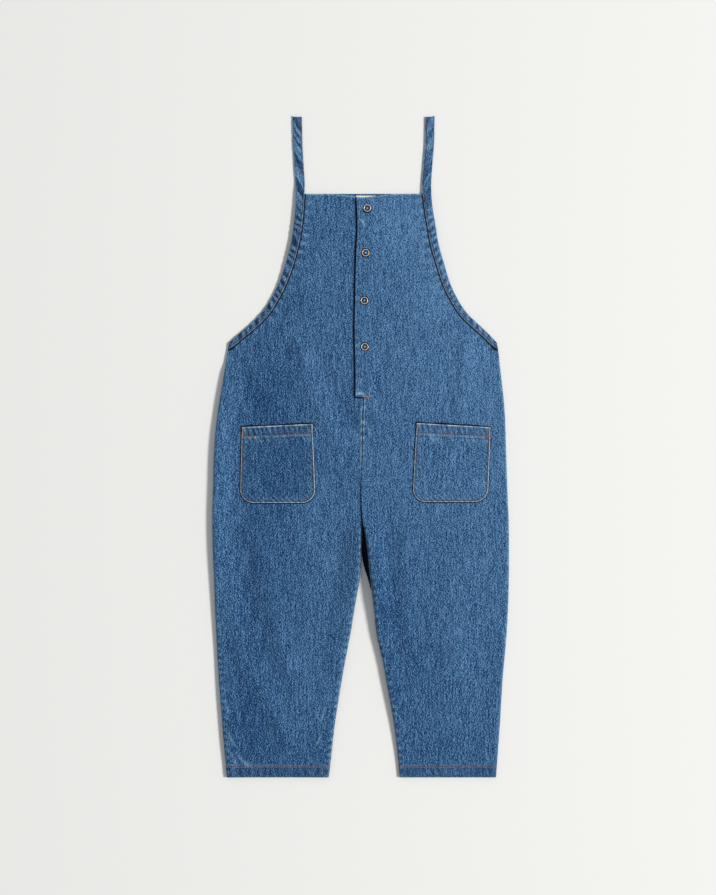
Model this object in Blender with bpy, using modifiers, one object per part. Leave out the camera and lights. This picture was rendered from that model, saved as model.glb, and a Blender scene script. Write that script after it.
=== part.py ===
"""A child's denim jumpsuit, laid flat on its back with its front up.

Blender units are metres and +Z is up. The sizes below are in millimetres and are
turned into metres where a mesh is made. The cloth rests on z = 0, the straps point
to +Y and the hems to -Y. Left and right are the wearer's, so left is at +X.
"""

import math

import bmesh
import bpy
from mathutils import Vector

MM = 0.001

# Cloth
CLOTH = 1.1  # one layer of denim
DOUBLE = 1.9  # a turned hem
STRIP = 1.7  # the turned placket strip and the pocket's turned mouth
SEAM_GAP = 0.3  # between two pieces at a seam
LAID_GAP = 0.45  # under a piece that lies on another
AIR = 1.4  # mean space between the back and the front
LEAST_AIR = 0.4

# Side seams and inseams, where the flat tube turns over
RIM_WIDE = 3.2
RIM_STEPS = 4
RIM_LEAN = 0.3  # how far the wall's inner corner leans over the seam
SEAM_HIGH = 3.2  # height of the side seam and the inseam
PLUMP_TOP = 5.9  # top of the front beside a turned edge
PLUMP_LONG = 26.0  # how far inwards that plumpness fades
ROUND_BELOW = 112.0
FLAT_ABOVE = 126.5  # the side seam ends in the armhole binding

# Levels along the lengths, as Y
HEM_Y = -429.0
HEM_DEEP = 13.5
CROTCH_Y = -92.0
INSEAM_ROUND_Y = -140.0
PLACKET_FOOT_Y = 65.9
JOG_Y = 64.6
UNDERARM_Y = 127.4
SLOT_FOOT_Y = 133.0
BACK_TOP_Y = 329.0
FRONT_TOP_Y = 328.4
STRAP_TOP_Y = 429.0

# Neck edge, placket and centre back
NECK_DIP = 4.2
NECK_DIP_X = 4.0
NECK_DIP_HALF = 24.0
PLACKET_WIDE = 21.0
UNDERLAP_X = 13.5
LAP_FLAT_X = 19.0
LAP_END_X = 52.0
LAP_END_Y = 15.0
CENTRE_BACK_X = 2.5

# Armhole binding and strap
LEG_THICK = 1.0  # one folded leg of the binding
BINDING_THICK = 3.7
STRAP_THICK = 2.8
SLOT_WALL = 1.3  # from the outer edge to the slot that holds the panel
PANEL_INSET = 1.6
BINDING_REACH = 11.0  # how far the binding covers the panel's edge
STRAP_NOTCH = 0.5
FRONT_BINDING_Z = 4.0
FRONT_STRAP_Z = 3.1
CORNER = 0.8
CROWN = 0.25
BINDING_STEP = 13.0
FOLD_STEPS = 6
UNDERARM_CUT = 7.8

# Pockets
POCKET_CORNER = 17.0
POCKET_HEM = 12.4
POCKET_GAPE = 1.2
POCKET_COLUMNS = 9
CORNER_STEPS = 3

# Ring snaps and label
RING_RADIUS = 3.9  # to the middle of the ring
RING_WIRE = 0.9
RING_FLAT = 0.7
LABEL_WIDE = 26.0
LABEL_DEEP = 12.0
LABEL_THICK = 0.6
LABEL_X = 6.9
LABEL_TOP_Y = 326.6

# Side seams: y, x of the right side, x of the left side
SIDE_SEAM = (
    (-429.0, -173.8, 176.0),
    (-361.0, -179.6, 180.9),
    (-303.0, -184.1, 184.4),
    (-244.0, -187.5, 189.6),
    (-186.0, -189.9, 192.3),
    (-108.0, -192.6, 192.6),
    (-49.0, -191.6, 190.5),
    (9.0, -189.6, 188.6),
    (48.0, -185.1, 187.1),
    (87.0, -178.6, 183.2),
    (127.4, -172.0, 178.5),
)

# Inseams below the crotch: y, x of the right leg, x of the left leg
INSEAM = (
    (-429.0, -41.3, 50.9),
    (-400.0, -37.8, 48.3),
    (-361.0, -33.5, 43.4),
    (-322.0, -27.5, 36.6),
    (-283.0, -20.9, 29.4),
    (-244.0, -13.3, 21.0),
    (-205.0, -7.0, 16.6),
    (-166.0, -0.2, 11.8),
    (-127.0, 1.8, 7.7),
    (-104.0, 2.4, 3.9),
    (-92.0, 2.35, 2.65),
)

# Centre front seam above the crotch: y, x
CENTRE_FRONT = (
    (-92.0, 2.5),
    (-56.0, 0.6),
    (-20.0, 2.5),
    (27.0, 3.3),
    (64.6, 4.4),
)

# Edge of the lapping placket: y, x
PLACKET_EDGE = (
    (65.9, -6.7),
    (96.0, -6.6),
    (151.0, -7.7),
    (194.0, -7.0),
    (227.0, -6.4),
    (257.0, -5.4),
    (287.0, -4.0),
    (328.4, -5.4),
)

# Outer edge of the binding and strap: y, x of the right side, x of the left side, width
BINDING_EDGE = (
    (135.2, -171.0, 177.4, 7.2),
    (145.6, -159.3, 167.6, 7.4),
    (158.6, -144.1, 154.1, 7.9),
    (171.6, -131.1, 140.5, 8.3),
    (184.6, -121.0, 130.6, 8.6),
    (210.6, -107.2, 117.2, 9.1),
    (236.6, -97.7, 109.0, 9.7),
    (262.6, -90.8, 101.6, 10.2),
    (288.6, -86.6, 97.2, 10.5),
    (314.6, -84.2, 93.1, 10.6),
    (340.6, -84.3, 91.8, 11.9),
    (366.6, -86.0, 93.4, 12.1),
    (392.6, -87.4, 95.5, 12.1),
    (429.0, -88.3, 96.2, 12.1),
)

# Soft folds of the front: start x, y, bend x, y, end x, y, half width, height
FOLDS = (
    (-162, -70, -147, -186, -101, -316, 13, -1.2),
    (-178, -170, -158, -265, -98, -374, 13, 1.3),
    (-130, -115, -116, -199, -98, -285, 14, 1.2),
    (-63, 113, -36, 58, -14, 35, 9, -0.9),
    (-79, 126, -66, 66, -50, 45, 11, 1.0),
    (-144, 113, -128, 84, -112, 60, 9, 1.0),
    (30, 122, 24, 70, 8, 36, 8, -0.8),
    (33, -80, 36, -160, 38, -251, 11, -0.9),
    (58, -121, 57, -225, 66, -329, 13, 1.0),
    (138, 150, 136, 100, 130, 66, 12, 0.7),
    (-60, 235, -66, 200, -84, 160, 12, 0.6),
    (118, -180, 124, -270, 112, -360, 15, 0.5),
)

# Pockets: side, mouth's right end x, y, its left end x, y, foot's right x, left x, foot y
POCKETS = (
    ("right", -154.0, 25.7, -62.5, 29.9, -156.4, -58.5, -72.4),
    ("left", 72.9, 31.1, 168.7, 25.5, 67.3, 165.0, -71.2),
)

# Ring snaps, top to bottom: x, y
SNAPS = ((8.8, 310.0), (6.7, 252.1), (5.0, 190.1), (5.5, 130.1))

# Rows of the panels between the hem and the neck edge, as y
HEM_ROWS = (HEM_Y, HEM_Y + 7.0, HEM_Y + HEM_DEEP, HEM_Y + HEM_DEEP + 1.5)
LEG_ROWS = tuple(-400.0 + 24.5 * step for step in range(13))
BODY_ROWS = (CROTCH_Y, -70.0, -45.0, -20.0, 4.0, 26.0, 48.0, JOG_Y, PLACKET_FOOT_Y)
WAIST_ROWS = (84.0, 100.0, ROUND_BELOW, 120.5, UNDERARM_Y, SLOT_FOOT_Y)

DENIM_COLOUR = (0.070, 0.165, 0.330, 1.0)
COPPER_COLOUR = (0.62, 0.36, 0.20, 1.0)
CREAM_COLOUR = (0.78, 0.74, 0.64, 1.0)

SIDE_COLUMN = {"right": 1, "left": 2}


def clear_scene():
    for obj in list(bpy.data.objects):
        bpy.data.objects.remove(obj, do_unlink=True)


def mix(low, high, share):
    return low + (high - low) * share


def smooth_step(start, end, value):
    """0 at start, 1 at end, with level ends; start may be above end."""
    share = min(1.0, max(0.0, (value - start) / (end - start)))
    return share * share * (3.0 - 2.0 * share)


def curve_at(table, column, y):
    """A column of a table at y, as a smooth curve through the table's rows."""
    last = len(table) - 1
    y = min(max(y, table[0][0]), table[last][0])
    row = max(i for i in range(last) if table[i][0] <= y)

    def slope(i):
        low, high = max(i - 1, 0), min(i + 1, last)
        return (table[high][column] - table[low][column]) / (table[high][0] - table[low][0])

    span = table[row + 1][0] - table[row][0]
    t = (y - table[row][0]) / span
    return (
        table[row][column] * (2 * t**3 - 3 * t**2 + 1)
        + slope(row) * span * (t**3 - 2 * t**2 + t)
        + table[row + 1][column] * (3 * t**2 - 2 * t**3)
        + slope(row + 1) * span * (t**3 - t**2)
    )


def binding_frame(side, y):
    """Outer edge of the binding at y, the way across it to the panel, and its width."""
    column = SIDE_COLUMN[side]
    x = curve_at(BINDING_EDGE, column, y)
    ahead = Vector((curve_at(BINDING_EDGE, column, y + 1.0) - x, 1.0))
    if y + 1.0 > STRAP_TOP_Y:
        ahead = Vector((0.0, 1.0))
    turned = (ahead.y, -ahead.x) if side == "right" else (-ahead.y, ahead.x)
    return Vector((x, y)), Vector(turned).normalized(), curve_at(BINDING_EDGE, 3, y)


def binding_levels():
    """Levels for the binding's sections, evenly spaced along its outer edge."""
    levels = [BINDING_EDGE[0][0]]
    while levels[-1] < BACK_TOP_Y - BINDING_STEP:
        y = levels[-1]
        slope = curve_at(BINDING_EDGE, 1, y + 1.0) - curve_at(BINDING_EDGE, 1, y)
        levels.append(y + BINDING_STEP / math.hypot(1.0, slope))
    return levels


def panel_edge_by_armhole(side):
    """The panel's armhole edge inside the binding, as points from low to high."""
    points = []
    for y in binding_levels() + [BACK_TOP_Y + 8.0]:
        outer, across, _ = binding_frame(side, y)
        points.append(outer + across * PANEL_INSET)
    points[0] = Vector((points[0].x, SLOT_FOOT_Y))
    return points


ARMHOLE_EDGES = {side: panel_edge_by_armhole(side) for side in SIDE_COLUMN}


def bib_rows(side):
    """Rows beside the armhole, each at a section of the binding."""
    return tuple(point.y for point in ARMHOLE_EDGES[side][1:-1])


def outer_edge(side, y):
    """x of a panel's outer edge: the side seam, then the armhole."""
    if y <= UNDERARM_Y:
        return curve_at(SIDE_SEAM, SIDE_COLUMN[side], y)
    points = ARMHOLE_EDGES[side]
    if y <= points[0].y:
        share = (y - UNDERARM_Y) / (points[0].y - UNDERARM_Y)
        return mix(curve_at(SIDE_SEAM, SIDE_COLUMN[side], UNDERARM_Y), points[0].x, share)
    for low, high in zip(points, points[1:]):
        if y <= high.y:
            return mix(low.x, high.x, (y - low.y) / (high.y - low.y))
    return points[-1].x


def seam_edge(side, y, centre):
    """x of a panel's inner edge: the inseam, then a seam at the given centre."""
    if y <= CROTCH_Y:
        return curve_at(INSEAM, SIDE_COLUMN[side], y)
    return centre + (SEAM_GAP / 2 if side == "left" else -SEAM_GAP / 2)


def front_inner_edge(side, y):
    if y <= JOG_Y:
        return seam_edge(side, y, curve_at(CENTRE_FRONT, 1, y))
    return curve_at(PLACKET_EDGE, 1, y) if side == "left" else UNDERLAP_X


def back_inner_edge(side, y):
    return seam_edge(side, y, CENTRE_BACK_X)


def distance_to_line(point, ends):
    """From a point to the nearest place on a line of straight runs."""
    nearest = math.inf
    for start, end in zip(ends, ends[1:]):
        run = end - start
        share = min(1.0, max(0.0, (point - start).dot(run) / run.length_squared))
        nearest = min(nearest, (point - start - run * share).length)
    return nearest


def fold_height(x, y):
    point = Vector((x, y))
    height = 0.0
    for x1, y1, x2, y2, x3, y3, half_width, high in FOLDS:
        away = distance_to_line(point, [Vector((x1, y1)), Vector((x2, y2)), Vector((x3, y3))])
        height += high * math.exp(-((away / half_width) ** 2))
    return height


def side_roundness(y):
    """1 where the outer edge is a turned-over side seam, 0 along the armhole."""
    return smooth_step(FLAT_ABOVE, ROUND_BELOW, y)


def inseam_roundness(y):
    return smooth_step(CROTCH_Y - 4.0, INSEAM_ROUND_Y, y)


def armhole_nearness(side, x, y, fade):
    """1 under and beside the binding, fading inwards to 0."""
    if y < ROUND_BELOW - fade:
        return 0.0
    away = distance_to_line(Vector((x, y)), ARMHOLE_EDGES[side])
    return 1.0 - smooth_step(BINDING_REACH, BINDING_REACH + fade, away)


def turned_edge(distance, roundness, inside, at_seam):
    """Height of a face that rolls from inside down to the seam over the rim's width."""
    reach = min(distance, RIM_WIDE)
    rolled = mix(at_seam, inside, math.sqrt(1.0 - (1.0 - reach / RIM_WIDE) ** 2))
    return mix(inside, rolled, roundness)


def edge_distances(side, x, y):
    """How far a point lies inside the side seam and inside the inseam."""
    outer = abs(outer_edge(side, y) - x)
    inner = abs(back_inner_edge(side, y) - x) if y < CROTCH_Y else math.inf
    return outer, inner


def front_top(side, x, y):
    """Height of a front panel's outer face, without the lap of the left front."""
    top = 2 * CLOTH + max(LEAST_AIR, AIR + fold_height(x, y))
    in_hem = 1.0 - smooth_step(HEM_Y + HEM_DEEP, HEM_Y + HEM_DEEP + 1.5, y)
    top = mix(top, max(top + DOUBLE - CLOTH, 2 * DOUBLE + LEAST_AIR), in_hem)
    outer, inner = edge_distances(side, x, y)
    plump = side_roundness(y) * (1.0 - smooth_step(RIM_WIDE, RIM_WIDE + PLUMP_LONG, outer))
    plump_in = inseam_roundness(y) * (1.0 - smooth_step(RIM_WIDE, RIM_WIDE + PLUMP_LONG, inner))
    top = mix(top, max(top, PLUMP_TOP), max(plump, plump_in))
    slot_top = FRONT_BINDING_Z + LEG_THICK + SEAM_GAP + CLOTH
    top = mix(top, slot_top, armhole_nearness(side, x, y, PLUMP_LONG))
    seam = SEAM_HIGH + SEAM_GAP / 2 + RIM_LEAN
    top = turned_edge(outer, side_roundness(y), top, seam)
    return turned_edge(inner, inseam_roundness(y), top, seam)


def back_bottom(side, x, y):
    """Height of a back panel's outer face, which rests on z = 0 but for its edges."""
    slot_bottom = LEG_THICK + SEAM_GAP
    bottom = slot_bottom * armhole_nearness(side, x, y, 14.0)
    outer, inner = edge_distances(side, x, y)
    seam = SEAM_HIGH - SEAM_GAP / 2 - RIM_LEAN
    bottom = turned_edge(outer, side_roundness(y), bottom, seam)
    return turned_edge(inner, inseam_roundness(y), bottom, seam)


def lap(x, y):
    """How much of the placket's lift over the underlap is left at a point."""
    return smooth_step(LAP_END_X, LAP_FLAT_X, x) * smooth_step(LAP_END_Y, JOG_Y - 6.0, y)


def in_strip(x, y):
    """1 on the turned placket strip, 0 off it."""
    if y < JOG_Y:
        return 0.0
    from_edge = x - front_inner_edge("left", y)
    return 1.0 - smooth_step(PLACKET_WIDE, PLACKET_WIDE + 1.5, from_edge)


def front_left_top(x, y):
    lift = (CLOTH + LAID_GAP) * lap(x, y) + (STRIP - CLOTH) * in_strip(x, y)
    return front_top("left", x, y) + lift


def neck_dip(x, y):
    """How far the front's neck edge sinks towards the centre, fading below it."""
    across = math.exp(-(((x - NECK_DIP_X) / NECK_DIP_HALF) ** 2))
    return NECK_DIP * across * smooth_step(FRONT_TOP_Y - 34.0, FRONT_TOP_Y, y)


def rim_offsets():
    """Columns beside an edge: close together over the turned rim, then wider."""
    angles = [math.pi / 2 * step / RIM_STEPS for step in range(RIM_STEPS + 1)]
    return [RIM_WIDE * (1.0 - math.cos(angle)) for angle in angles]


def columns_between(inner, outer, near_inner, near_outer, middle):
    """x of each column of a row, from the inner edge to the outer edge."""
    inwards = 1.0 if outer > inner else -1.0
    start = [inner + inwards * offset for offset in near_inner]
    end = [outer - inwards * offset for offset in reversed(near_outer)]
    between = [mix(start[-1], end[0], (step + 1) / (middle + 1)) for step in range(middle)]
    return start + between + end


def front_columns(side, y):
    rim = rim_offsets() + [BINDING_REACH + 1.0, BINDING_REACH + 14.0]
    near_inner = rim
    if side == "left":
        placket = [0.0, 0.4, 1.5, 14.0, PLACKET_WIDE, PLACKET_WIDE + 1.5, PLACKET_WIDE + 10.0]
        moved = front_inner_edge(side, y) - curve_at(PLACKET_EDGE, 1, PLACKET_FOOT_Y)
        beside_jog = [0.0, 0.4, 1.5] + [offset - moved for offset in placket[3:]]
        above = placket if y > JOG_Y else beside_jog
        share = smooth_step(-45.0, JOG_Y - 20.0, y)
        near_inner = [mix(low, high, share) for low, high in zip(rim, above)]
    return columns_between(front_inner_edge(side, y), outer_edge(side, y), near_inner, rim, 6)


def back_columns(side, y):
    rim = rim_offsets() + [BINDING_REACH + 1.0, BINDING_REACH + 14.0]
    return columns_between(back_inner_edge(side, y), outer_edge(side, y), rim, rim, 0)


def make_material(name, colour, roughness, metallic=0.0):
    material = bpy.data.materials.new(name)
    material.use_nodes = True
    shader = material.node_tree.nodes["Principled BSDF"]
    shader.inputs["Base Color"].default_value = colour
    shader.inputs["Roughness"].default_value = roughness
    shader.inputs["Metallic"].default_value = metallic
    material.diffuse_color = colour
    return material


def add_object(name, mesh, collection, material):
    obj = bpy.data.objects.new(name, mesh)
    collection.objects.link(obj)
    mesh.materials.append(material)
    mesh.shade_smooth()
    mesh.set_sharp_from_angle(angle=math.radians(40.0))
    return obj


def cloth_sheet(name, rows, faces_up, collection, material):
    """A wall of cloth. A row is a list of (x, y, z, thickness) on its outer face."""
    count, across = len(rows), len(rows[0])
    thickest = max(point[3] for row in rows for point in row)
    build = bmesh.new()
    bmesh.ops.create_grid(build, x_segments=across - 1, y_segments=count - 1, size=0.5)
    weights = build.verts.layers.deform.new()
    for vert in build.verts:
        column = round((vert.co.x + 0.5) * (across - 1))
        row = round((vert.co.y + 0.5) * (count - 1))
        x, y, z, thick = rows[row][column]
        vert.co = Vector((x, y, z)) * MM
        vert[weights][0] = thick / thickest
    build.normal_update()
    if (sum(face.normal.z for face in build.faces) > 0) != faces_up:
        bmesh.ops.reverse_faces(build, faces=build.faces)
    mesh = bpy.data.meshes.new(name)
    build.to_mesh(mesh)
    build.free()
    obj = add_object(name, mesh, collection, material)
    obj.vertex_groups.new(name="thickness")
    wall = obj.modifiers.new("wall", "SOLIDIFY")
    wall.thickness = thickest * MM
    wall.offset = -1.0
    wall.use_even_offset = True
    wall.vertex_group = "thickness"
    return obj


def hem_thickness(x, y, side):
    """Cloth doubles in the hem, but for the turned rims."""
    outer, inner = edge_distances(side, x, y)
    if min(outer, inner) < RIM_WIDE + 1.0:
        return CLOTH
    in_hem = 1.0 - smooth_step(HEM_Y + HEM_DEEP, HEM_Y + HEM_DEEP + 1.5, y)
    return mix(CLOTH, DOUBLE, in_hem)


def front_panel(side, collection, material):
    rows = []
    for y in HEM_ROWS + LEG_ROWS + BODY_ROWS + WAIST_ROWS + bib_rows(side) + (FRONT_TOP_Y,):
        row = []
        for x in front_columns(side, y):
            thick = hem_thickness(x, y, side)
            top = front_top(side, x, y)
            if side == "left":
                top = front_left_top(x, y)
                thick = mix(thick, STRIP, in_strip(x, y))
            row.append((x, y - neck_dip(x, y), top, thick))
        rows.append(row)
    cloth_sheet(f"front_{side}", rows, True, collection, material)


def back_panel(side, collection, material):
    rows = []
    kept_legs = LEG_ROWS[1::2]
    kept_body = BODY_ROWS[::2]
    for y in HEM_ROWS + kept_legs + kept_body + WAIST_ROWS + bib_rows(side) + (BACK_TOP_Y,):
        row = []
        for x in back_columns(side, y):
            row.append((x, y, back_bottom(side, x, y), hem_thickness(x, y, side)))
        rows.append(row)
    cloth_sheet(f"back_{side}", rows, False, collection, material)


def pocket_levels(height):
    """(height above the foot, inset of the sides) for each row of a pocket."""
    levels = []
    for step in range(CORNER_STEPS + 1):
        angle = math.pi / 2 * step / CORNER_STEPS
        levels.append((POCKET_CORNER * (1 - math.cos(angle)), POCKET_CORNER * (1 - math.sin(angle))))
    hem_foot = height - POCKET_HEM
    straight = hem_foot - 1.2 - POCKET_CORNER
    levels += [(POCKET_CORNER + straight * step / 5, 0.0) for step in range(1, 6)]
    levels += [(hem_foot, 0.0), (height - POCKET_HEM / 2, 0.0), (height, 0.0)]
    return levels


def pocket(side, mouth_right, mouth_left, foot_right, foot_left, foot_y, collection, material):
    height = (mouth_right.y + mouth_left.y) / 2 - foot_y
    rows = []
    for level, inset in pocket_levels(height):
        up = level / height
        right = mix(foot_right, mouth_right.x, up) + inset
        left = mix(foot_left, mouth_left.x, up) - inset
        in_hem = smooth_step(height - POCKET_HEM - 1.2, height - POCKET_HEM, level)
        row = []
        for column in range(POCKET_COLUMNS):
            across = column / (POCKET_COLUMNS - 1)
            x = mix(right, left, across)
            y = foot_y + up * (mix(mouth_right.y, mouth_left.y, across) - foot_y)
            panel = front_left_top(x, y) if side == "left" else front_top(side, x, y)
            gape = POCKET_GAPE * math.sin(math.pi * across) * smooth_step(height - 30.0, height, level)
            thick = mix(CLOTH, STRIP, in_hem)
            row.append((x, y, panel + LAID_GAP + thick + gape, thick))
        rows.append(row)
    cloth_sheet(f"pocket_{side}", rows, True, collection, material)


def binding_section(width, thick, leg, slot, crown):
    """Outline of the folded strip as (across, out) from its outer edge and inner face."""
    return [
        (width, 0.0),
        (CORNER, 0.0),
        (0.0, CORNER),
        (0.0, thick - CORNER),
        (CORNER, thick),
        (width / 2, thick + crown),
        (width, thick),
        (width, thick - leg),
        (slot, thick - leg),
        (slot, leg),
        (width, leg),
    ]


def strap_share(y):
    """0 along the armhole, 1 on the strap above the bib."""
    return smooth_step(BACK_TOP_Y + 0.8, BACK_TOP_Y + 4.0, y)


def binding_ring(side, y, turn, on_front):
    """One section, at turn degrees round the shoulder fold, 90 lying on the front."""
    outer, across, width = binding_frame(side, y)
    on_strap = strap_share(y)
    if y == BINDING_EDGE[0][0]:
        across = Vector((0.0, -1.0))
        width = UNDERARM_CUT
    thick = mix(BINDING_THICK, STRAP_THICK, on_strap)
    leg = mix(LEG_THICK, (STRAP_THICK - SEAM_GAP) / 2, on_strap)
    slot = mix(SLOT_WALL, width - STRAP_NOTCH, on_strap)
    crown = CROWN if on_front else 0.0
    base = mix(FRONT_BINDING_Z, FRONT_STRAP_Z, smooth_step(BACK_TOP_Y + 2.0, BACK_TOP_Y + 26.0, y))
    pivot = (FRONT_STRAP_Z + STRAP_THICK) / 2
    ring = []
    for inwards, out in binding_section(width, thick, leg, slot, crown):
        plan = outer + across * inwards
        if turn is not None:
            radius = out + SEAM_GAP / 2
            along = radius * math.cos(math.radians(turn))
            ring.append((plan.x, y + along, pivot + radius * math.sin(math.radians(turn))))
        elif on_front:
            ring.append((plan.x, plan.y, base + out))
        else:
            ring.append((plan.x, plan.y, thick - out))
    return ring


def binding(side, collection, material):
    fold_y = STRAP_TOP_Y - STRAP_THICK - SEAM_GAP / 2
    levels = binding_levels() + [BACK_TOP_Y + 0.6, BACK_TOP_Y + 4.2]
    levels += [mix(levels[-1], fold_y, step / 7) for step in range(1, 7)]
    rings = [binding_ring(side, y, None, True) for y in levels]
    for step in range(FOLD_STEPS + 1):
        rings.append(binding_ring(side, fold_y, 90.0 - 180.0 * step / FOLD_STEPS, step == 0))
    rings += [binding_ring(side, y, None, False) for y in reversed(levels)]
    build = bmesh.new()
    loops = [[build.verts.new(Vector(point) * MM) for point in ring] for ring in rings]
    for low, high in zip(loops, loops[1:]):
        for i in range(len(low)):
            after = (i + 1) % len(low)
            build.faces.new((low[i], low[after], high[after], high[i]))
    build.faces.new(loops[0])
    build.faces.new(reversed(loops[-1]))
    bmesh.ops.recalc_face_normals(build, faces=build.faces)
    mesh = bpy.data.meshes.new(f"binding_{side}")
    build.to_mesh(mesh)
    build.free()
    add_object(f"binding_{side}", mesh, collection, material)


def ring_snap(name, x, y, collection, material):
    """An open ring pressed through the placket strip."""
    bpy.ops.mesh.primitive_torus_add(
        major_segments=16, minor_segments=6, major_radius=RING_RADIUS * MM, minor_radius=RING_WIRE * MM
    )
    ring = bpy.context.object
    ring.name = name
    ring.data.name = name
    for vert in ring.data.vertices:
        vert.co.z *= RING_FLAT
    high = front_left_top(x, y) + SEAM_GAP + 0.1 + RING_WIRE * RING_FLAT
    ring.location = Vector((x, y, high)) * MM
    ring.data.materials.append(material)
    ring.data.shade_smooth()
    for holder in list(ring.users_collection):
        holder.objects.unlink(ring)
    collection.objects.link(ring)


def neck_label(collection, material):
    """The bare woven label, sewn to the back's inside below its top edge."""
    build = bmesh.new()
    bmesh.ops.create_cube(build, size=1.0)
    bmesh.ops.scale(build, vec=Vector((LABEL_WIDE, LABEL_DEEP, LABEL_THICK)) * MM, verts=build.verts)
    mesh = bpy.data.meshes.new("label")
    build.to_mesh(mesh)
    build.free()
    label = add_object("label", mesh, collection, material)
    high = CLOTH + SEAM_GAP + LABEL_THICK / 2
    label.location = Vector((LABEL_X, LABEL_TOP_Y - LABEL_DEEP / 2, high)) * MM


def main():
    clear_scene()
    collection = bpy.data.collections.new("denim_jumpsuit")
    bpy.context.scene.collection.children.link(collection)
    for side in SIDE_COLUMN:
        front_panel(side, collection, make_material(f"front {side} denim", DENIM_COLOUR, 0.85))
        back_panel(side, collection, make_material(f"back {side} denim", DENIM_COLOUR, 0.85))
        binding(side, collection, make_material(f"binding {side} denim", DENIM_COLOUR, 0.85))
    for side, x1, y1, x2, y2, foot_right, foot_left, foot_y in POCKETS:
        denim = make_material(f"pocket {side} denim", DENIM_COLOUR, 0.85)
        ends = Vector((x1, y1)), Vector((x2, y2))
        pocket(side, *ends, foot_right, foot_left, foot_y, collection, denim)
    for number, (x, y) in enumerate(SNAPS, 1):
        copper = make_material(f"snap {number} copper", COPPER_COLOUR, 0.3, 1.0)
        ring_snap(f"snap_{number}", x, y, collection, copper)
    neck_label(collection, make_material("label cotton", CREAM_COLOUR, 0.8))


main()
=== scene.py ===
"""The looks of a child's denim jumpsuit laid flat: cloth shells, sewing, snaps and light.

Sizes are in millimetres and are turned into metres where a mesh is made. Left and
right are the wearer's, so the left pieces lie at +X. Arrays of points hold one row
for each level along the garment and one column for each place across it.
"""

import math

import bmesh
import bpy
import numpy as np
from mathutils import Matrix, Vector


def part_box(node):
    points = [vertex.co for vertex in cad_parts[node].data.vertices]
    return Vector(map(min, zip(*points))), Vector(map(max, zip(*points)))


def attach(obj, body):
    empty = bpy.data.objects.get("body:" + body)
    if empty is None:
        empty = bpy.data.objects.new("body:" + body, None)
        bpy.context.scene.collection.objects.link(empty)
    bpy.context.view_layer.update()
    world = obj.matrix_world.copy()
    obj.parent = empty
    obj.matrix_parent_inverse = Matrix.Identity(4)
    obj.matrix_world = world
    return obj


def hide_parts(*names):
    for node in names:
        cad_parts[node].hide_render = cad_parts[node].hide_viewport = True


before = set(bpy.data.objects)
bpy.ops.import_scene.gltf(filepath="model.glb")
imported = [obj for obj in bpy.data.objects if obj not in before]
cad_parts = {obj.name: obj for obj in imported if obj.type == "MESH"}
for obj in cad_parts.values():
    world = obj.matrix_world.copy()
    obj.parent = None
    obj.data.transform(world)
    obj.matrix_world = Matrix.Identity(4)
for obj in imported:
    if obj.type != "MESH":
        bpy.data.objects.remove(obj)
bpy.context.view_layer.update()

MM = 0.001

# Cloth, and how the pieces lie on each other
CLOTH = 1.1  # one layer, as in the solids
SHELL = 0.9  # the shells' thickness
SEAM_GAP = 0.3
LAID_GAP = 0.4
AIR = 2.3  # between the back and the front
LEAST_AIR = 0.4
FOLD_LIFT = 1.7  # how much stronger the folds are than in the solids

# Side seams and inseams, where the cloth turns from the front to the back
RIM_WIDE = 3.2
RIM_RUBBED = 2.2  # how far in the rim is rubbed pale
SEAM_HIGH = 3.2
SEAM_LEAN = 0.1
PLUMP_LONG = 26.0  # how far inwards the front stands high beside a side seam
CROTCH_LONG = 30.0  # and beside an inseam
ROUND_BELOW = 112.0  # the side seam is round below this level
FLAT_ABOVE = 126.5  # and pressed flat above this one
EDGE_ROLL = 1.6  # how far a hem's foot or a pocket's side takes to roll over

# What the denim reads at each point
BARE = 2.0  # how worn it is where only white thread is left
SHADOW_REACH = 6.0  # how far from a covering edge it knows its distance
DARK_LINE = (0.7, 1.9)  # where the painted shadow line outside a covering edge starts to fade, and ends
POCKET_SHADE = 0.25  # how much further that line reaches beside a pocket
PLACKET_SHADE = 1.4
BINDING_SHADE = 0.6
FRONT_TONE = 0.52  # how faded the wash is: 0 is unfaded, 1 is pale
BACK_TONE = 0.44
# the left pocket, on the window's side, is paler: partly the wash, partly painted light
POCKET_TONE = {"right": 0.14, "left": 0.66}
SNAP_TONE = 0.4
POCKET_GRAIN = (311.0, -170.0)  # puts each cloth's grain at another place of the weave
STRIP_GRAIN = 40.0

# Meshes
FINE = 2.0  # spacing of the front shells' points
COARSE = 4.0  # of the back shells'
ROW_WIDE = 170.0  # the row for which a panel's points are first spread

# Levels along the garment
HEM_Y = -429.0
HEM_DEEP = 13.5
CROTCH_Y = -92.0
# the back's crotch reaches this low to carry the painted shadow between the legs' tops
BACK_CROTCH_Y = -132.0
INSEAM_ROUND_Y = -112.0
PARTING_Y = -50.0  # where the painted shadow line along the centre seam starts to widen towards the crotch
PLACKET_FOOT_Y = 65.9
JOG_Y = 64.6
UNDERARM_Y = 127.4
SLOT_FOOT_Y = 133.0
BACK_TOP_Y = 329.0
FRONT_TOP_Y = 328.4
STRAP_TOP_Y = 430.0
LIPS_FOOT_Y = -26.0  # where the centre seam's pale lips end

# Neck edge, placket and centre back
NECK_DIP = 4.2
NECK_DIP_X = 4.0
NECK_DIP_HALF = 24.0
PLACKET_WIDE = 21.0
UNDERLAP_X = 13.5
LAP_FLAT_X = 19.0
LAP_END_X = 52.0
LAP_END_Y = 15.0
CENTRE_BACK_X = 2.5

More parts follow.
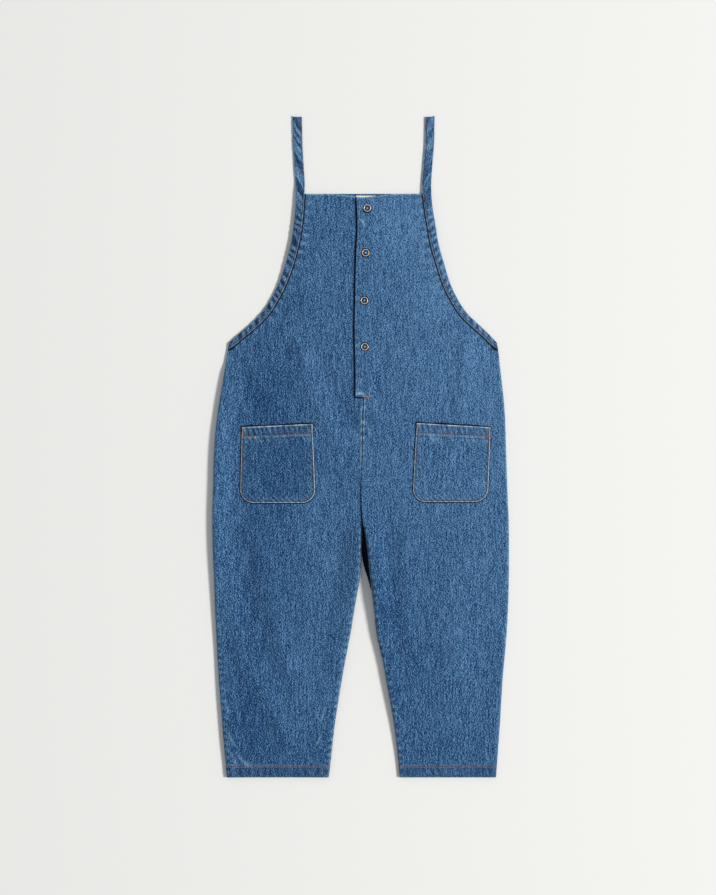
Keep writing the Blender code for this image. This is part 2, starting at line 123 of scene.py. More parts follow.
# Armhole binding and strap, laid thinner than the solids, as their narrow shadows ask
LEG_THICK = 0.35
BINDING_THICK = 1.65
STRAP_THICK = 1.1
SLOT_WALL = 1.3
PANEL_INSET = 1.6
BINDING_REACH = 11.0
STRAP_NOTCH = 0.5
FRONT_BINDING_Z = 1.8
FRONT_STRAP_Z = 1.35
BINDING_LIFT = 2.6  # how much higher the front one stands beside the bib's top
UNDERARM_CUT = 7.8
UNDERARM_TURN = 13.0
BINDING_STITCH = 1.6  # from the binding's inner edge
STRAP_STITCH = 2.2
LOOSE_FROM, LOOSE_TO = 180.0, 212.0  # where along the strip its rope of puckers ends
FADED_FROM, FADED_TO = 195.0, 225.0  # where the armhole's tone turns into the strap's

# The rope of puckers of each strip, how strong the painted shade in its troughs is (dark), and its
# tone by the armhole and on the strap
STRIPS = {
    "right": {"pitch": 10.4, "seed": 101, "dark": 1.5, "by_armhole": 0.34, "on_strap": 1.0},
    "left": {"pitch": 9.6, "seed": 131, "dark": 0.75, "by_armhole": 1.0, "on_strap": 0.66},
}

# Pockets
POCKET_CORNER = 17.0
POCKET_HEM = 12.4
POCKET_STITCH = 1.7
POCKET_GAPE = 1.2  # how far the mouth stands off the front

# Side seams: y, x of the right side, x of the left side
SIDE_SEAM = (
    (-429.0, -173.8, 176.0),
    (-361.0, -179.6, 180.9),
    (-303.0, -184.1, 184.4),
    (-244.0, -187.5, 189.6),
    (-186.0, -189.9, 192.3),
    (-108.0, -192.6, 192.6),
    (-49.0, -191.6, 190.5),
    (9.0, -189.6, 188.6),
    (48.0, -185.1, 187.1),
    (87.0, -178.6, 183.2),
    (127.4, -172.0, 178.5),
)

# Inseams below the crotch: y, x of the right leg, x of the left leg
INSEAM = (
    (-429.0, -41.3, 50.9),
    (-400.0, -37.8, 48.3),
    (-361.0, -33.5, 43.4),
    (-322.0, -27.5, 36.6),
    (-283.0, -20.9, 29.4),
    (-244.0, -13.3, 21.0),
    (-205.0, -7.0, 16.6),
    (-166.0, -0.2, 11.8),
    (-127.0, 1.8, 7.7),
    (-104.0, 2.4, 3.9),
    (-92.0, 2.35, 2.65),
)

# How high the front stands beside the side seam: y, right side, left side
SIDE_TOP = (
    (-429.0, 6.0, 5.2),
    (-387.0, 7.8, 5.6),
    (-328.0, 7.8, 5.8),
    (-263.0, 6.8, 6.0),
    (-198.0, 8.7, 6.2),
    (-133.0, 10.7, 6.4),
    (-16.0, 10.7, 6.4),
    (36.0, 9.6, 6.0),
    (88.0, 9.2, 5.6),
    (112.0, 7.0, 5.4),
)

# How high it stands beside the inseam: y, right leg, left leg
INSEAM_TOP = (
    (-429.0, 5.4, 4.8),
    (-387.0, 5.8, 7.2),
    (-341.0, 6.2, 9.8),
    (-302.0, 6.8, 11.2),
    (-263.0, 7.6, 11.8),
    (-224.0, 9.0, 14.2),
    (-198.0, 11.0, 16.6),
    (-146.0, 13.5, 16.6),
    (-118.0, 11.0, 13.0),
    (-92.0, 6.0, 7.0),
)

# Centre front seam above the crotch: y, x
CENTRE_FRONT = ((-92.0, 2.5), (-56.0, 0.6), (-20.0, 2.5), (27.0, 3.3), (64.6, 4.4))

# Edge of the lapping placket: y, x
PLACKET_EDGE = (
    (65.9, -6.7),
    (96.0, -6.6),
    (151.0, -7.7),
    (194.0, -7.0),
    (227.0, -6.4),
    (257.0, -5.4),
    (287.0, -4.0),
    (328.4, -5.4),
)

# Outer edge of the binding and strap: y, x of the right side, x of the left side, width
BINDING_EDGE = (
    (135.2, -171.0, 177.4, 7.2),
    (145.6, -159.3, 167.6, 7.4),
    (158.6, -144.1, 154.1, 7.9),
    (171.6, -131.1, 140.5, 8.3),
    (184.6, -121.0, 130.6, 8.6),
    (210.6, -107.2, 117.2, 9.1),
    (236.6, -97.7, 109.0, 9.7),
    (262.6, -90.8, 101.6, 10.2),
    (288.6, -86.6, 97.2, 10.5),
    (314.6, -84.2, 93.1, 10.6),
    (340.6, -84.3, 91.8, 11.9),
    (366.6, -86.0, 93.4, 12.1),
    (392.6, -87.4, 95.5, 12.1),
    (429.0, -88.3, 96.2, 12.1),
)

# Soft folds of the front: start x, y, bend x, y, end x, y, half width, height
FOLDS = (
    (-162, -70, -147, -186, -101, -316, 15, -1.3),
    (-178, -170, -158, -265, -98, -374, 15, 2.0),
    (-130, -115, -116, -199, -98, -285, 16, 1.8),
    (-52, 113, -30, 62, -8, 28, 9, -1.1),
    (-79, 130, -62, 66, -26, 2, 12, 1.8),
    (-144, 113, -128, 84, -112, 60, 9, 1.4),
    (30, 122, 24, 70, 8, 36, 8, -1.0),
    (33, -80, 36, -160, 38, -251, 12, -1.0),
    (58, -121, 57, -225, 66, -329, 15, 1.4),
    (138, 150, 136, 100, 130, 66, 13, 1.2),
    (-60, 235, -66, 200, -84, 160, 12, 0.9),
    (118, -180, 124, -270, 112, -360, 18, 1.0),
)

# Paler and darker places, partly the wash's fading and partly painted light and shade of the folds
# and of the window's fall-off: x, y, half width, half height, change
PAINTED_LIGHT_AND_FADES = (
    (51, 301, 42, 50, 0.11),
    (96, 205, 34, 120, 0.17),
    (120, 90, 50, 60, 0.10),
    (155, 126, 26, 50, 0.09),
    (181, -43, 13, 180, 0.10),
    (-180, 22, 13, 110, 0.10),
    (-78, 190, 24, 75, -0.11),
    (-63, 87, 14, 45, 0.04),
    (-14, 190, 9, 135, -0.09),
    (-13, 20, 15, 55, -0.12),
    (-122, 70, 26, 64, -0.28),
    (-118, -200, 36, 230, -0.14),
    (-52, -60, 16, 140, 0.05),
    (-20, -62, 17, 48, -0.08),
    (18, -150, 16, 60, -0.30),
    (45, -280, 24, 140, -0.18),
    (45, 210, 18, 26, -0.06),
    (-110, -400, 75, 70, -0.14),
    (110, -410, 70, 90, -0.12),
    (-155, -320, 36, 130, -0.34),
    (-115, 50, 45, 90, -0.15),
    (66, -280, 32, 110, -0.24),
    (82, 270, 24, 60, 0.2),
    (165, 60, 34, 80, 0.22),
    (110, 205, 20, 34, 0.2),
    (160, -140, 30, 40, 0.12),
    (70, 180, 60, 130, 0.13),
    (80, -60, 90, 70, 0.1),
    (-115, -50, 45, 170, -0.2),
    (64, 290, 54, 34, 0.32),
    (32, -215, 18, 60, -0.2),
    (-30, -150, 20, 40, 0.12),
    (166, -30, 26, 140, 0.1),
    (-8, 42, 18, 22, -0.2),
    (0, -410, 300, 50, -0.1),
)

# Thin rubbed creases: start x, y, end x, y, strength
CREASES = (
    (-171, -372, -165, -386, 0.7),
    (-168, -398, -161, -412, 0.6),
    (-158, -402, -146, -415, 0.7),
    (-150, -408, -141, -416, 0.5),
    (-176, -330, -171, -345, 0.4),
    (-46, -338, -52, -356, 0.5),
    (-51, -374, -57, -386, 0.5),
    (52, -352, 58, -368, 0.4),
    (163, -398, 168, -410, 0.4),
    (-9, 22, -3, 10, 0.4),
    (9, 30, 13, 16, 0.4),
    (20, 62, 14, 44, 0.3),
    (-2, 296, 3, 292, 0.7),
    (3, 292.5, 6, 287, 0.6),
    (-1, 275, 4, 268, 0.4),
    (2, 88, -3, 78, 0.5),
)

# Pockets: side, mouth's right end x, y, its left end x, y, foot's right x, left x, foot y
POCKETS = (
    ("right", -154.0, 25.7, -62.5, 29.9, -156.4, -58.5, -72.4),
    ("left", 72.9, 31.1, 168.7, 25.5, 67.3, 165.0, -71.2),
)

# Ring snaps, top to bottom: x, y
RING_RADIUS = 4.2
RING_WIDE = 0.55
RING_HIGH = 0.6  # of the ring's middle over the cloth
RING_DOME = ((0.0, 0.8), (0.6, 0.76), (1.2, 0.6), (1.9, 0.2))  # cloth inside: radius, height
SNAPS = ((8.8, 310.0), (6.7, 252.1), (5.0, 190.1), (5.5, 130.1))

SIDE_COLUMN = {"right": 1, "left": 2}
SIDES = tuple(SIDE_COLUMN)

# Sewing thread: a stitch of the topstitching, and a thread of a bartack
STITCH_PITCH = 2.9
STITCH_RADIUS = 0.28
STITCH_ARCH = 0.2
BAR_PITCH = 0.42
BAR_RADIUS = 0.25
BAR_ARCH = 0.28

# The bartack at the placket's foot, a slightly wavy line: its x and y
PLACKET_BAR = ((-4.6, 3.7, 9.7, 14.6), (67.5, 66.4, 65.4, 66.7))

# The photograph's frame: its size and where the garment's x = 0 and y = 0 lie in it, in pixels
PIXEL = 1.3
IMAGE_WIDE, IMAGE_HIGH = 716, 895
MIDDLE_X, MIDDLE_Y = 360.55, 447.0
CAMERA_HIGH = 3400.0
SENSOR_WIDE = 36.0

# Light: the window's middle and side in metres, its watts, and the sky's strength
WINDOW_PLACE = (6.95, 0.0, 7.2)
WINDOW_SIDE = 1.8
WINDOW_WATTS = 862.0
WINDOW_COLOUR = (1.0, 0.99, 0.975)
SKY_COLOUR = (0.97, 0.985, 1.0, 1.0)
SKY_STRENGTH = 0.395


def mix(low, high, share):
    return low + (high - low) * share


def smooth_step(start, end, value):
    """0 at start, 1 at end, with level ends; start may be above end."""
    share = np.clip((value - start) / (end - start), 0.0, 1.0)
    return share * share * (3.0 - 2.0 * share)


def peak(distance, width, power=2):
    """1 where the distance is nothing, fading out over the width."""
    return np.exp(-((distance / width) ** power))


def positive(value):
    """The value where it is above 0, and 0 elsewhere."""
    return np.maximum(value, 0.0)


def run_lengths(points):
    """The length along a line of points at each of them."""
    return np.concatenate([[0.0], np.cumsum(np.linalg.norm(np.diff(points, axis=0), axis=1))])


def table_curve(table, column):
    """(levels, values) of a smooth curve through a table's column, a point each millimetre."""
    rows = np.array([(row[0], row[column]) for row in table])
    levels, values = rows[:, 0], rows[:, 1]
    slopes = np.empty(len(rows))
    slopes[1:-1] = (values[2:] - values[:-2]) / (levels[2:] - levels[:-2])
    slopes[0] = (values[1] - values[0]) / (levels[1] - levels[0])
    slopes[-1] = (values[-1] - values[-2]) / (levels[-1] - levels[-2])
    dense = np.append(np.arange(levels[0], levels[-1], 1.0), levels[-1])
    row = np.clip(np.searchsorted(levels, dense, side="right") - 1, 0, len(rows) - 2)
    span = levels[row + 1] - levels[row]
    t = (dense - levels[row]) / span
    curve = (
        values[row] * (2 * t**3 - 3 * t**2 + 1)
        + slopes[row] * span * (t**3 - 2 * t**2 + t)
        + values[row + 1] * (3 * t**2 - 2 * t**3)
        + slopes[row + 1] * span * (t**3 - t**2)
    )
    return dense, curve


SIDE_CURVE = {side: table_curve(SIDE_SEAM, SIDE_COLUMN[side]) for side in SIDES}
INSEAM_CURVE = {side: table_curve(INSEAM, SIDE_COLUMN[side]) for side in SIDES}
SIDE_TOP_CURVE = {side: table_curve(SIDE_TOP, SIDE_COLUMN[side]) for side in SIDES}
INSEAM_TOP_CURVE = {side: table_curve(INSEAM_TOP, SIDE_COLUMN[side]) for side in SIDES}
CENTRE_CURVE = table_curve(CENTRE_FRONT, 1)
PLACKET_CURVE = table_curve(PLACKET_EDGE, 1)
BINDING_CURVE = {side: table_curve(BINDING_EDGE, SIDE_COLUMN[side]) for side in SIDES}
WIDTH_CURVE = table_curve(BINDING_EDGE, 3)


def soft_noise(x, y, size_x, size_y, seed):
    """Smooth uneven values from -1 to 1, with patches of about size_x by size_y."""
    cells = 64
    lattice = np.random.default_rng(seed).uniform(-1.0, 1.0, (cells, cells))
    u, v = np.asarray(x) / size_x, np.asarray(y) / size_y
    column, row = np.floor(u).astype(int), np.floor(v).astype(int)
    across, up = u - column, v - row
    across = across * across * (3 - 2 * across)
    up = up * up * (3 - 2 * up)

    def at(i, j):
        return lattice[(row + j) % cells, (column + i) % cells]

    return mix(mix(at(0, 0), at(1, 0), across), mix(at(0, 1), at(1, 1), across), up)


def soft_line(along, size, seed):
    """Smooth uneven values along one line."""
    return soft_noise(along, 0 * along, size, 1.0, seed)


def binding_levels(step):
    """Levels along the binding's outer edge, a step apart, up to the shoulder fold."""
    dense, edge = BINDING_CURVE["right"]
    length = np.concatenate([[0.0], np.cumsum(np.hypot(np.diff(dense), np.diff(edge)))])
    fold_y = STRAP_TOP_Y - STRAP_THICK - SEAM_GAP / 2
    whole = np.interp(fold_y, dense, length)
    count = int(whole / step) + 1
    return np.interp(np.linspace(0.0, whole, count), length, dense)


def binding_frame(side, levels):
    """Outer edge points, unit ways across to the panel, widths and lengths at each level."""
    dense, edge = BINDING_CURVE[side]
    outer = np.stack([np.interp(levels, dense, edge), levels], axis=1)
    slope = np.gradient(edge, dense)
    ahead = np.stack([np.interp(levels, dense, slope), np.ones(len(levels))], axis=1)
    turned = np.stack([ahead[:, 1], -ahead[:, 0]], axis=1)
    if side == "left":
        turned = -turned
    width = np.interp(levels, *WIDTH_CURVE)
    run = run_lengths(outer)
    to_seam = 1.0 - smooth_step(0.0, UNDERARM_TURN, run)[:, None]
    across = turned / np.linalg.norm(turned, axis=1)[:, None]
    across = mix(across, np.array([0.0, -1.0]), to_seam)
    width = mix(width, UNDERARM_CUT, to_seam[:, 0])
    return outer, across / np.linalg.norm(across, axis=1)[:, None], width, run


def armhole_edge(side):
    """The panel's armhole edge inside the binding, from low to high, with its length."""
    levels = binding_levels(1.5)
    outer, across, _, run = binding_frame(side, levels)
    below_top = levels < BACK_TOP_Y + 8.0
    edge = (outer + across * PANEL_INSET)[below_top]
    edge[0] = (edge[0][0], SLOT_FOOT_Y)
    return edge[::3], run[below_top][::3]


ARMHOLE = {side: armhole_edge(side) for side in SIDES}


def outer_edge(side, y):
    """x of a panel's outer edge: the side seam, then the armhole inside the binding."""
    edge, _ = ARMHOLE[side]
    levels, values = SIDE_CURVE[side]
    order = np.argsort(edge[:, 1])
    levels = np.concatenate([levels, edge[order, 1]])
    return np.interp(y, levels, np.concatenate([values, edge[order, 0]]))


def back_inner_edge(side, y):
    """x of a back panel's inner edge: its crotch reaches lower than the front's, so that dark cloth
    with painted shadow fills the gap between the legs' tops.
    """
    half = SEAM_GAP / 2 if side == "left" else -SEAM_GAP / 2
    seam = np.interp(y, *INSEAM_CURVE[side])
    beside_right = np.interp(y, *INSEAM_CURVE["right"])
    middle = mix(CENTRE_BACK_X, beside_right, smooth_step(CROTCH_Y, BACK_CROTCH_Y, y))
    return mix(middle + half, seam, smooth_step(BACK_CROTCH_Y, BACK_CROTCH_Y - 56.0, y))


def front_inner_edge(side, y):
    """x of a front panel's inner edge: the inseam, the centre seam, then the placket."""
    half = SEAM_GAP / 2 if side == "left" else -SEAM_GAP / 2
    centre = np.interp(y, *CENTRE_CURVE) + half
    seam = np.where(y <= CROTCH_Y, np.interp(y, *INSEAM_CURVE[side]), centre)
    placket = np.interp(y, *PLACKET_CURVE) if side == "left" else UNDERLAP_X
    return np.where(y <= JOG_Y, seam, placket)


def near_line(x, y, line, lengths=None):
    """(distance to a line of straight runs, length along it) for arrays of points."""
    away = np.full(np.shape(x), np.inf)
    along = np.zeros(np.shape(x))
    line = np.asarray(line, float)
    if lengths is None:
        lengths = run_lengths(line)
    for i in range(len(line) - 1):
        run = line[i + 1] - line[i]
        share = ((x - line[i, 0]) * run[0] + (y - line[i, 1]) * run[1]) / (run @ run)
        share = np.clip(share, 0.0, 1.0)
        gap = np.hypot(x - line[i, 0] - share * run[0], y - line[i, 1] - share * run[1])
        nearer = gap < away
        away = np.where(nearer, gap, away)
        along = np.where(nearer, mix(lengths[i], lengths[i + 1], share), along)
    return away, along


def fold_height(x, y):
    """The largest soft folds and the slight unevenness between them."""
    height = 0.22 * soft_noise(x, y, 34.0, 60.0, 3) + 0.12 * soft_noise(x, y, 15.0, 22.0, 4)
    for x1, y1, x2, y2, x3, y3, half_width, high in FOLDS:
        away, _ = near_line(x, y, ((x1, y1), (x2, y2), (x3, y3)))
        height = height + FOLD_LIFT * high * peak(away, half_width)
    return height


def side_roundness(y):
    return smooth_step(FLAT_ABOVE, ROUND_BELOW, y)


def inseam_roundness(y):
    return smooth_step(CROTCH_Y - 4.0, INSEAM_ROUND_Y, y)


def edge_distances(side, x, y):
    """How far points lie inside the side seam and inside the inseam."""
    outer = np.abs(outer_edge(side, y) - x)
    inner = np.where(y < CROTCH_Y, np.abs(np.interp(y, *INSEAM_CURVE[side]) - x), 1e6)
    return outer, inner


def armhole_nearness(side, x, y, fade):
    """1 under and beside the binding, fading inwards to 0, with the length along it."""
    nearness, along = np.zeros(np.shape(x)), np.zeros(np.shape(x))
    near = y > ROUND_BELOW - fade
    if near.any():
        edge, run = ARMHOLE[side]
        away, along[near] = near_line(x[near], y[near], edge, run)
        nearness[near] = 1.0 - smooth_step(BINDING_REACH, BINDING_REACH + fade, away)
    return nearness, along


def rounded_edge(distance, radius):
    """How far a face has rolled down at a distance inside its folded edge: 1 at the edge."""
    share = 1.0 - np.clip(distance, 0.0, radius) / radius
    return 1.0 - np.sqrt(1.0 - share**2)


def front_binding_base(y):
    """Height of the front binding's inner face: highest beside the bib's top corners."""
    past_top = smooth_step(BACK_TOP_Y - 30.0, BACK_TOP_Y + 30.0, y)
    return FRONT_BINDING_Z + BINDING_LIFT * smooth_step(195.0, 255.0, y) * (1.0 - past_top)


def rims(y, outer, inner):
    """1 on the rubbed rims of the side seam and the inseam."""
    by_side, by_inseam = peak(outer, RIM_RUBBED), peak(inner, RIM_RUBBED)
    return side_roundness(y) * by_side + inseam_roundness(y) * by_inseam


def turned_edge(distance, roundness, inside, at_seam):
    """Height of a face that rolls from inside down to the seam over the rim's width."""
    return mix(inside, mix(inside, at_seam, rounded_edge(distance, RIM_WIDE)), roundness)


def seam_pucker(distance, along, pitch, reach, seed):
    """Uneven waves across a seam, strongest beside it: about -1 to 1."""
    bent = along + 0.28 * pitch * soft_line(along, pitch * 2.2, seed)
    wave = np.sin(2 * math.pi * bent / pitch)
    strength = 0.65 + 0.35 * soft_noise(along, distance, pitch * 1.7, 9.0, seed + 1)
    return wave * strength * peak(distance, reach)


def hem_stitching(y):
    """1 on the hem's line of topstitching, fading out beside it."""
    return peak(y - HEM_Y - HEM_DEEP, 0.9)


def hem_pucker(x, y, seed):
    """The slanted puckers in a leg's hem."""
    from_middle = np.abs(y - HEM_Y - HEM_DEEP / 2)
    return seam_pucker(from_middle, x + 0.25 * (y - HEM_Y), 11.0, 9.0, seed)


def front_form(side, x, y):
    """(height of a front panel's outer face, how worn, how much painted shade) without the left's
    lap.
    """
    top = 2 * CLOTH + np.maximum(LEAST_AIR, AIR + fold_height(x, y))
    outer, inner = edge_distances(side, x, y)
    plump = side_roundness(y) * (1.0 - smooth_step(RIM_WIDE, RIM_WIDE + PLUMP_LONG, outer))
    top = mix(top, np.maximum(top, np.interp(y, *SIDE_TOP_CURVE[side])), plump)
    # the legs stand highest where they part, the left one most
    parting = 1.0 - smooth_step(RIM_WIDE, RIM_WIDE + CROTCH_LONG, inner)
    top = mix(top, np.maximum(top, np.interp(y, *INSEAM_TOP_CURVE[side])), parting)
    slot_top = front_binding_base(y) + LEG_THICK + 0.05 + SHELL
    nearness, along = armhole_nearness(side, x, y, PLUMP_LONG)
    top = mix(top, slot_top, nearness)

    # puckers beside the binding, the side seam, the inseam and in the hem
    by_armhole = seam_pucker(positive(outer * 0.8 - 8.0), along, 11.0, 7.0, 11)
    by_armhole = by_armhole * (y > FLAT_ABOVE)
    by_side = seam_pucker(np.abs(outer - 3.0), y, 9.0, 2.6, 21) * side_roundness(y)
    by_side = by_side * (smooth_step(-140.0, -260.0, y) if side == "right" else 0.25)
    by_inseam = seam_pucker(np.abs(inner - 3.0), y, 10.0, 2.6, 31) * inseam_roundness(y)
    in_hem = 1.0 - smooth_step(HEM_Y + HEM_DEEP + 0.8, HEM_Y + HEM_DEEP + 2.6, y)
    by_hem = hem_pucker(x, y, 41) * (y < HEM_Y + 2.4 * HEM_DEEP)
    stitch_dip = hem_stitching(y)
    top = top + 0.22 * by_armhole + 0.22 * by_side + 0.2 * by_inseam + 0.34 * by_hem
    top = top + 0.45 * in_hem - 0.3 * stitch_dip
    ridge = peak(y - HEM_Y - HEM_DEEP - 1.6, 0.8)
    ridge = ridge * (0.75 + 0.5 * soft_line(x, 21.0, 43))
    puckers = by_armhole + by_side + by_inseam
    worn = 0.5 * positive(puckers) + 0.35 * ridge + 0.5 * positive(by_hem) ** 2
    # painted shade in the puckers' troughs, over the hem band and along its stitching
    deep = 0.6 * positive(-puckers) + 0.3 * in_hem + 0.4 * stitch_dip

    for x1, y1, x2, y2, strength in CREASES:
        away, _ = near_line(x, y, ((x1, y1), (x2, y2)))
        crease = strength * peak(away, 1.1)
        top, worn = top + 0.5 * crease, worn + crease

    # the hem's folded edge, and the turned rims
    to_foot = positive(y - HEM_Y)
    top = top - 0.9 * rounded_edge(to_foot, 1.4)
    seam = SEAM_HIGH + SEAM_GAP / 2 + SEAM_LEAN
    top = turned_edge(outer, side_roundness(y), top, seam)
    top = turned_edge(inner, inseam_roundness(y), top, seam)
    worn = worn + 0.3 * rims(y, outer, inner) + 0.25 * peak(to_foot, 1.2)
    return top, worn, deep


def centre_ridge(side, x, y):
    """(height, rubbed, painted shade) of the centre front seam below the placket, with its puckers.
    """
    away = np.abs(x - np.interp(y, *CENTRE_CURVE) - 0.5 * soft_line(y, 6.0, 52))
    below = smooth_step(JOG_Y, JOG_Y - 8.0, y)
    lips = below * smooth_step(LIPS_FOOT_Y - 14.0, LIPS_FOOT_Y + 14.0, y)
    seam = below * smooth_step(CROTCH_Y - 6.0, CROTCH_Y, y)
    pucker = seam_pucker(away, y, 9.5, 4.0, 51)
    ridge = peak(positive(away - 0.8), 2.4) - 0.8 * peak(away, 0.7)
    lip_place = 0.9 if side == "left" else 2.2
    lip = peak(away - lip_place, 0.8) * (0.8 + 0.35 * pucker)
    lip = lip + 0.5 * lip * soft_line(y, 4.0, 53)
    # sunk is painted shade in the puckers' troughs, and on the right a painted shadow line in the
    # seam towards the crotch
    sunk = positive(-pucker) * 0.7 * lips
    if side == "right":
        sunk = sunk + 0.75 * seam * peak(away, 1.0)
    return lips * (0.5 * ridge + 0.3 * pucker), 1.1 * lips * positive(lip), sunk


def lap(x, y):
    """How much of the placket's lift over the underlap is left at a point."""
    return smooth_step(LAP_END_X, LAP_FLAT_X, x) * smooth_step(LAP_END_Y, JOG_Y - 6.0, y)


def in_strip(x, y):
    """1 on the turned placket strip, 0 off it."""
    from_edge = x - np.interp(y, *PLACKET_CURVE)
    return (y > JOG_Y) * (1.0 - smooth_step(PLACKET_WIDE, PLACKET_WIDE + 1.5, from_edge))


def front_surface(side, x, y):
    """(height, worn, painted shade) of a front panel's outer face, as it is seen."""
    x, y = np.asarray(x, float), np.asarray(y, float)
    top, worn, deep = front_form(side, x, y)
    ridge, rubbed, sunk = centre_ridge(side, x, y)
    top, worn, deep = top + ridge, worn + rubbed, deep + sunk
    neck = peak(FRONT_TOP_Y - y, 1.0)
    worn = worn + (1.2 + 0.4 * soft_line(x, 9.0, 66)) * neck
    if side == "right":
        return top, worn, deep
    strip = in_strip(x, y)
    from_edge = positive(x - np.interp(y, *PLACKET_CURVE))
    pucker = seam_pucker(np.abs(from_edge - 2.0), y, 12.0, 5.0, 61) * strip
    fold = (y > JOG_Y) * rounded_edge(from_edge, 1.2)
    top = top + (CLOTH + LAID_GAP) * lap(x, y) + 0.5 * strip + 0.15 * pucker - 0.7 * fold
    worn = worn + 0.35 * peak(from_edge, 1.3) * (y > JOG_Y)
    worn = worn + 0.3 * positive(pucker)
    # rubbed places at the placket's foot, above and under its bartack
    at_foot = strip * peak(y - PLACKET_FOOT_Y - 3.4, 1.5) * peak(x + 1.0, 6.0)
    under_bar = (y > JOG_Y - 0.1) * peak(y - JOG_Y - 0.2, 1.0)
    worn = worn + 1.7 * at_foot + 1.8 * under_bar * smooth_step(6.0, 3.5, x)
    # with painted shade in the placket strip's pucker troughs
    return top, worn, deep + 0.3 * positive(-pucker)


def painted_shadow_gap(side, x, y):
    """How far a front panel's points lie outside the pocket, band, snap rings and placket that
    cover them, which places the painted shadow lines beside these.
    """
    pocket = POCKET_OF[side]
    across, level = pocket.shares(x, y)
    gap = np.maximum(-pocket.inside(across, level), level - pocket.height)
    # a painted shadow line beside the pocket, narrower on its side towards the window
    gap = gap - POCKET_SHADE + 0.7 * smooth_step(0.92, 1.02, across)
    # and wider above its gaping mouth
    gap = gap - 0.5 * (level > pocket.height - 2.0) * (1.0 + soft_line(x, 18.0, 93))
    # a painted shadow line beside the binding
    edge, run = ARMHOLE[side]
    away, along = near_line(x, y, edge, run)
    _, _, width, lengths = binding_frame(side, binding_levels(1.5))
    gap = np.minimum(gap, away + PANEL_INSET - np.interp(along, lengths, width) - BINDING_SHADE)
    if side == "left":
        # a painted shadow round each snap ring
        for snap_x, snap_y in SNAPS:
            gap = np.minimum(gap, np.hypot(x - snap_x, y - snap_y) - RING_RADIUS - RING_WIDE)
    if side == "right":
        # a painted shadow beside the placket's edge and below its foot, fading out at the neck
        placket = np.maximum(np.interp(y, *PLACKET_CURVE) - x, PLACKET_FOOT_Y - y)
        shade = PLACKET_SHADE * smooth_step(FRONT_TOP_Y - 2.0, FRONT_TOP_Y - 9.0, y)
        gap = np.minimum(gap, placket - shade)
        # and a painted shadow line along the centre seam, widening towards the crotch
        from_seam = np.abs(x - np.interp(y, *CENTRE_CURVE))
        reach = 1.7 * smooth_step(PARTING_Y, CROTCH_Y, y) - 0.6
        gap = np.minimum(gap, np.where(y < JOG_Y, from_seam - reach, SHADOW_REACH))
    return gap


def back_surface(side, x, y):
    """(height, worn, painted shade) of a back panel's outer face, which rests on z = 0."""
    nearness, _ = armhole_nearness(side, x, y, 14.0)
    bottom = (LEG_THICK + SEAM_GAP) * nearness
    outer, inner = edge_distances(side, x, y)
    seam = SEAM_HIGH - SEAM_GAP / 2 - SEAM_LEAN
    bottom = turned_edge(outer, side_roundness(y), bottom, seam)
    bottom = turned_edge(inner, inseam_roundness(y), bottom, seam)
    by_hem = hem_pucker(x, y, 45)
    # the centre back seam is pressed flat, with a worn lip on each side
    from_seam = np.where(y > CROTCH_Y, np.abs(x - CENTRE_BACK_X), 1e6)
    pucker = seam_pucker(from_seam, y, 10.0, 4.0, 55)
    bottom = bottom + 0.5 * rounded_edge(from_seam, 1.6)
    lips = peak(from_seam - 2.0, 0.9) * (0.5 + 0.4 * pucker)
    worn = 0.35 * rims(y, outer, inner) + lips + 0.5 * positive(by_hem) ** 2
    # painted shade along the hem's stitching, in the centre back seam and in the hem's pucker
    # troughs
    deep = 0.5 * hem_stitching(y) + 0.8 * peak(from_seam, 0.9) + 0.4 * positive(-by_hem)
    return bottom, worn, deep


def painted_crotch_shadow(side, x, y):
    """How far a back panel's points lie from the painted shadow between the legs' tops."""
    beyond = np.abs(np.interp(y, *INSEAM_CURVE[side]) - x)
    inner_side = (x < np.interp(y, *INSEAM_CURVE[side])) == (side == "left")
    hidden = inner_side & (y < CROTCH_Y)
    return np.where(hidden, 0.0, np.where(y < CROTCH_Y, beyond, SHADOW_REACH))


def neck_dip(x, y):
    """How far the front's neck edge sinks towards the centre, fading below it."""
    across = peak(x - NECK_DIP_X, NECK_DIP_HALF)
    return NECK_DIP * across * smooth_step(FRONT_TOP_Y - 34.0, FRONT_TOP_Y, y)


def shares_across(width, spacing):
    """Distances from one edge to the other: close together over both rims."""
    angles = np.linspace(0.0, math.pi / 2, 7)
    rim = RIM_WIDE * (1.0 - np.cos(angles))
    count = max(2, int((width - 2 * RIM_WIDE) / spacing))
    middle = np.linspace(RIM_WIDE, width - RIM_WIDE, count)[1:-1]
    return np.concatenate([rim, middle, (width - rim)[::-1]])


def beside_share(outside):
    """A distance outside a cover as the share that the denim reads: 0.5 at the cover's edge."""
    return 0.5 + 0.5 * np.asarray(outside, float) / SHADOW_REACH


def dress(mesh, grain, worn, deep, tone, outside=SHADOW_REACH):
    """Gives a mesh the grain map and the values that the denim reads at each point.

    The last is how far the point lies outside what covers it, in millimetres, which places the
    painted shadow line beside a covering edge.
    """
    count = len(mesh.vertices)
    loops = np.empty(len(mesh.loops), np.int32)
    mesh.loops.foreach_get("vertex_index", loops)
    grain_map = mesh.uv_layers.new(name="grain")
    grain_map.data.foreach_set("uv", (grain.reshape(-1, 2) * MM)[loops].astype(np.float32).ravel())
    beside = beside_share(outside)
    worn = np.asarray(worn, float) / BARE
    # the third value is painted shade in creases, pucker troughs, seams and along stitching
    for title, values in (("worn", worn), ("deep", deep), ("tone", tone), ("beside", beside)):
        spread = np.broadcast_to(np.asarray(values, float).ravel(), count)
        attribute = mesh.attributes.new(title, "FLOAT", "POINT")
        attribute.data.foreach_set("value", np.clip(spread, 0.0, 1.0).astype(np.float32))


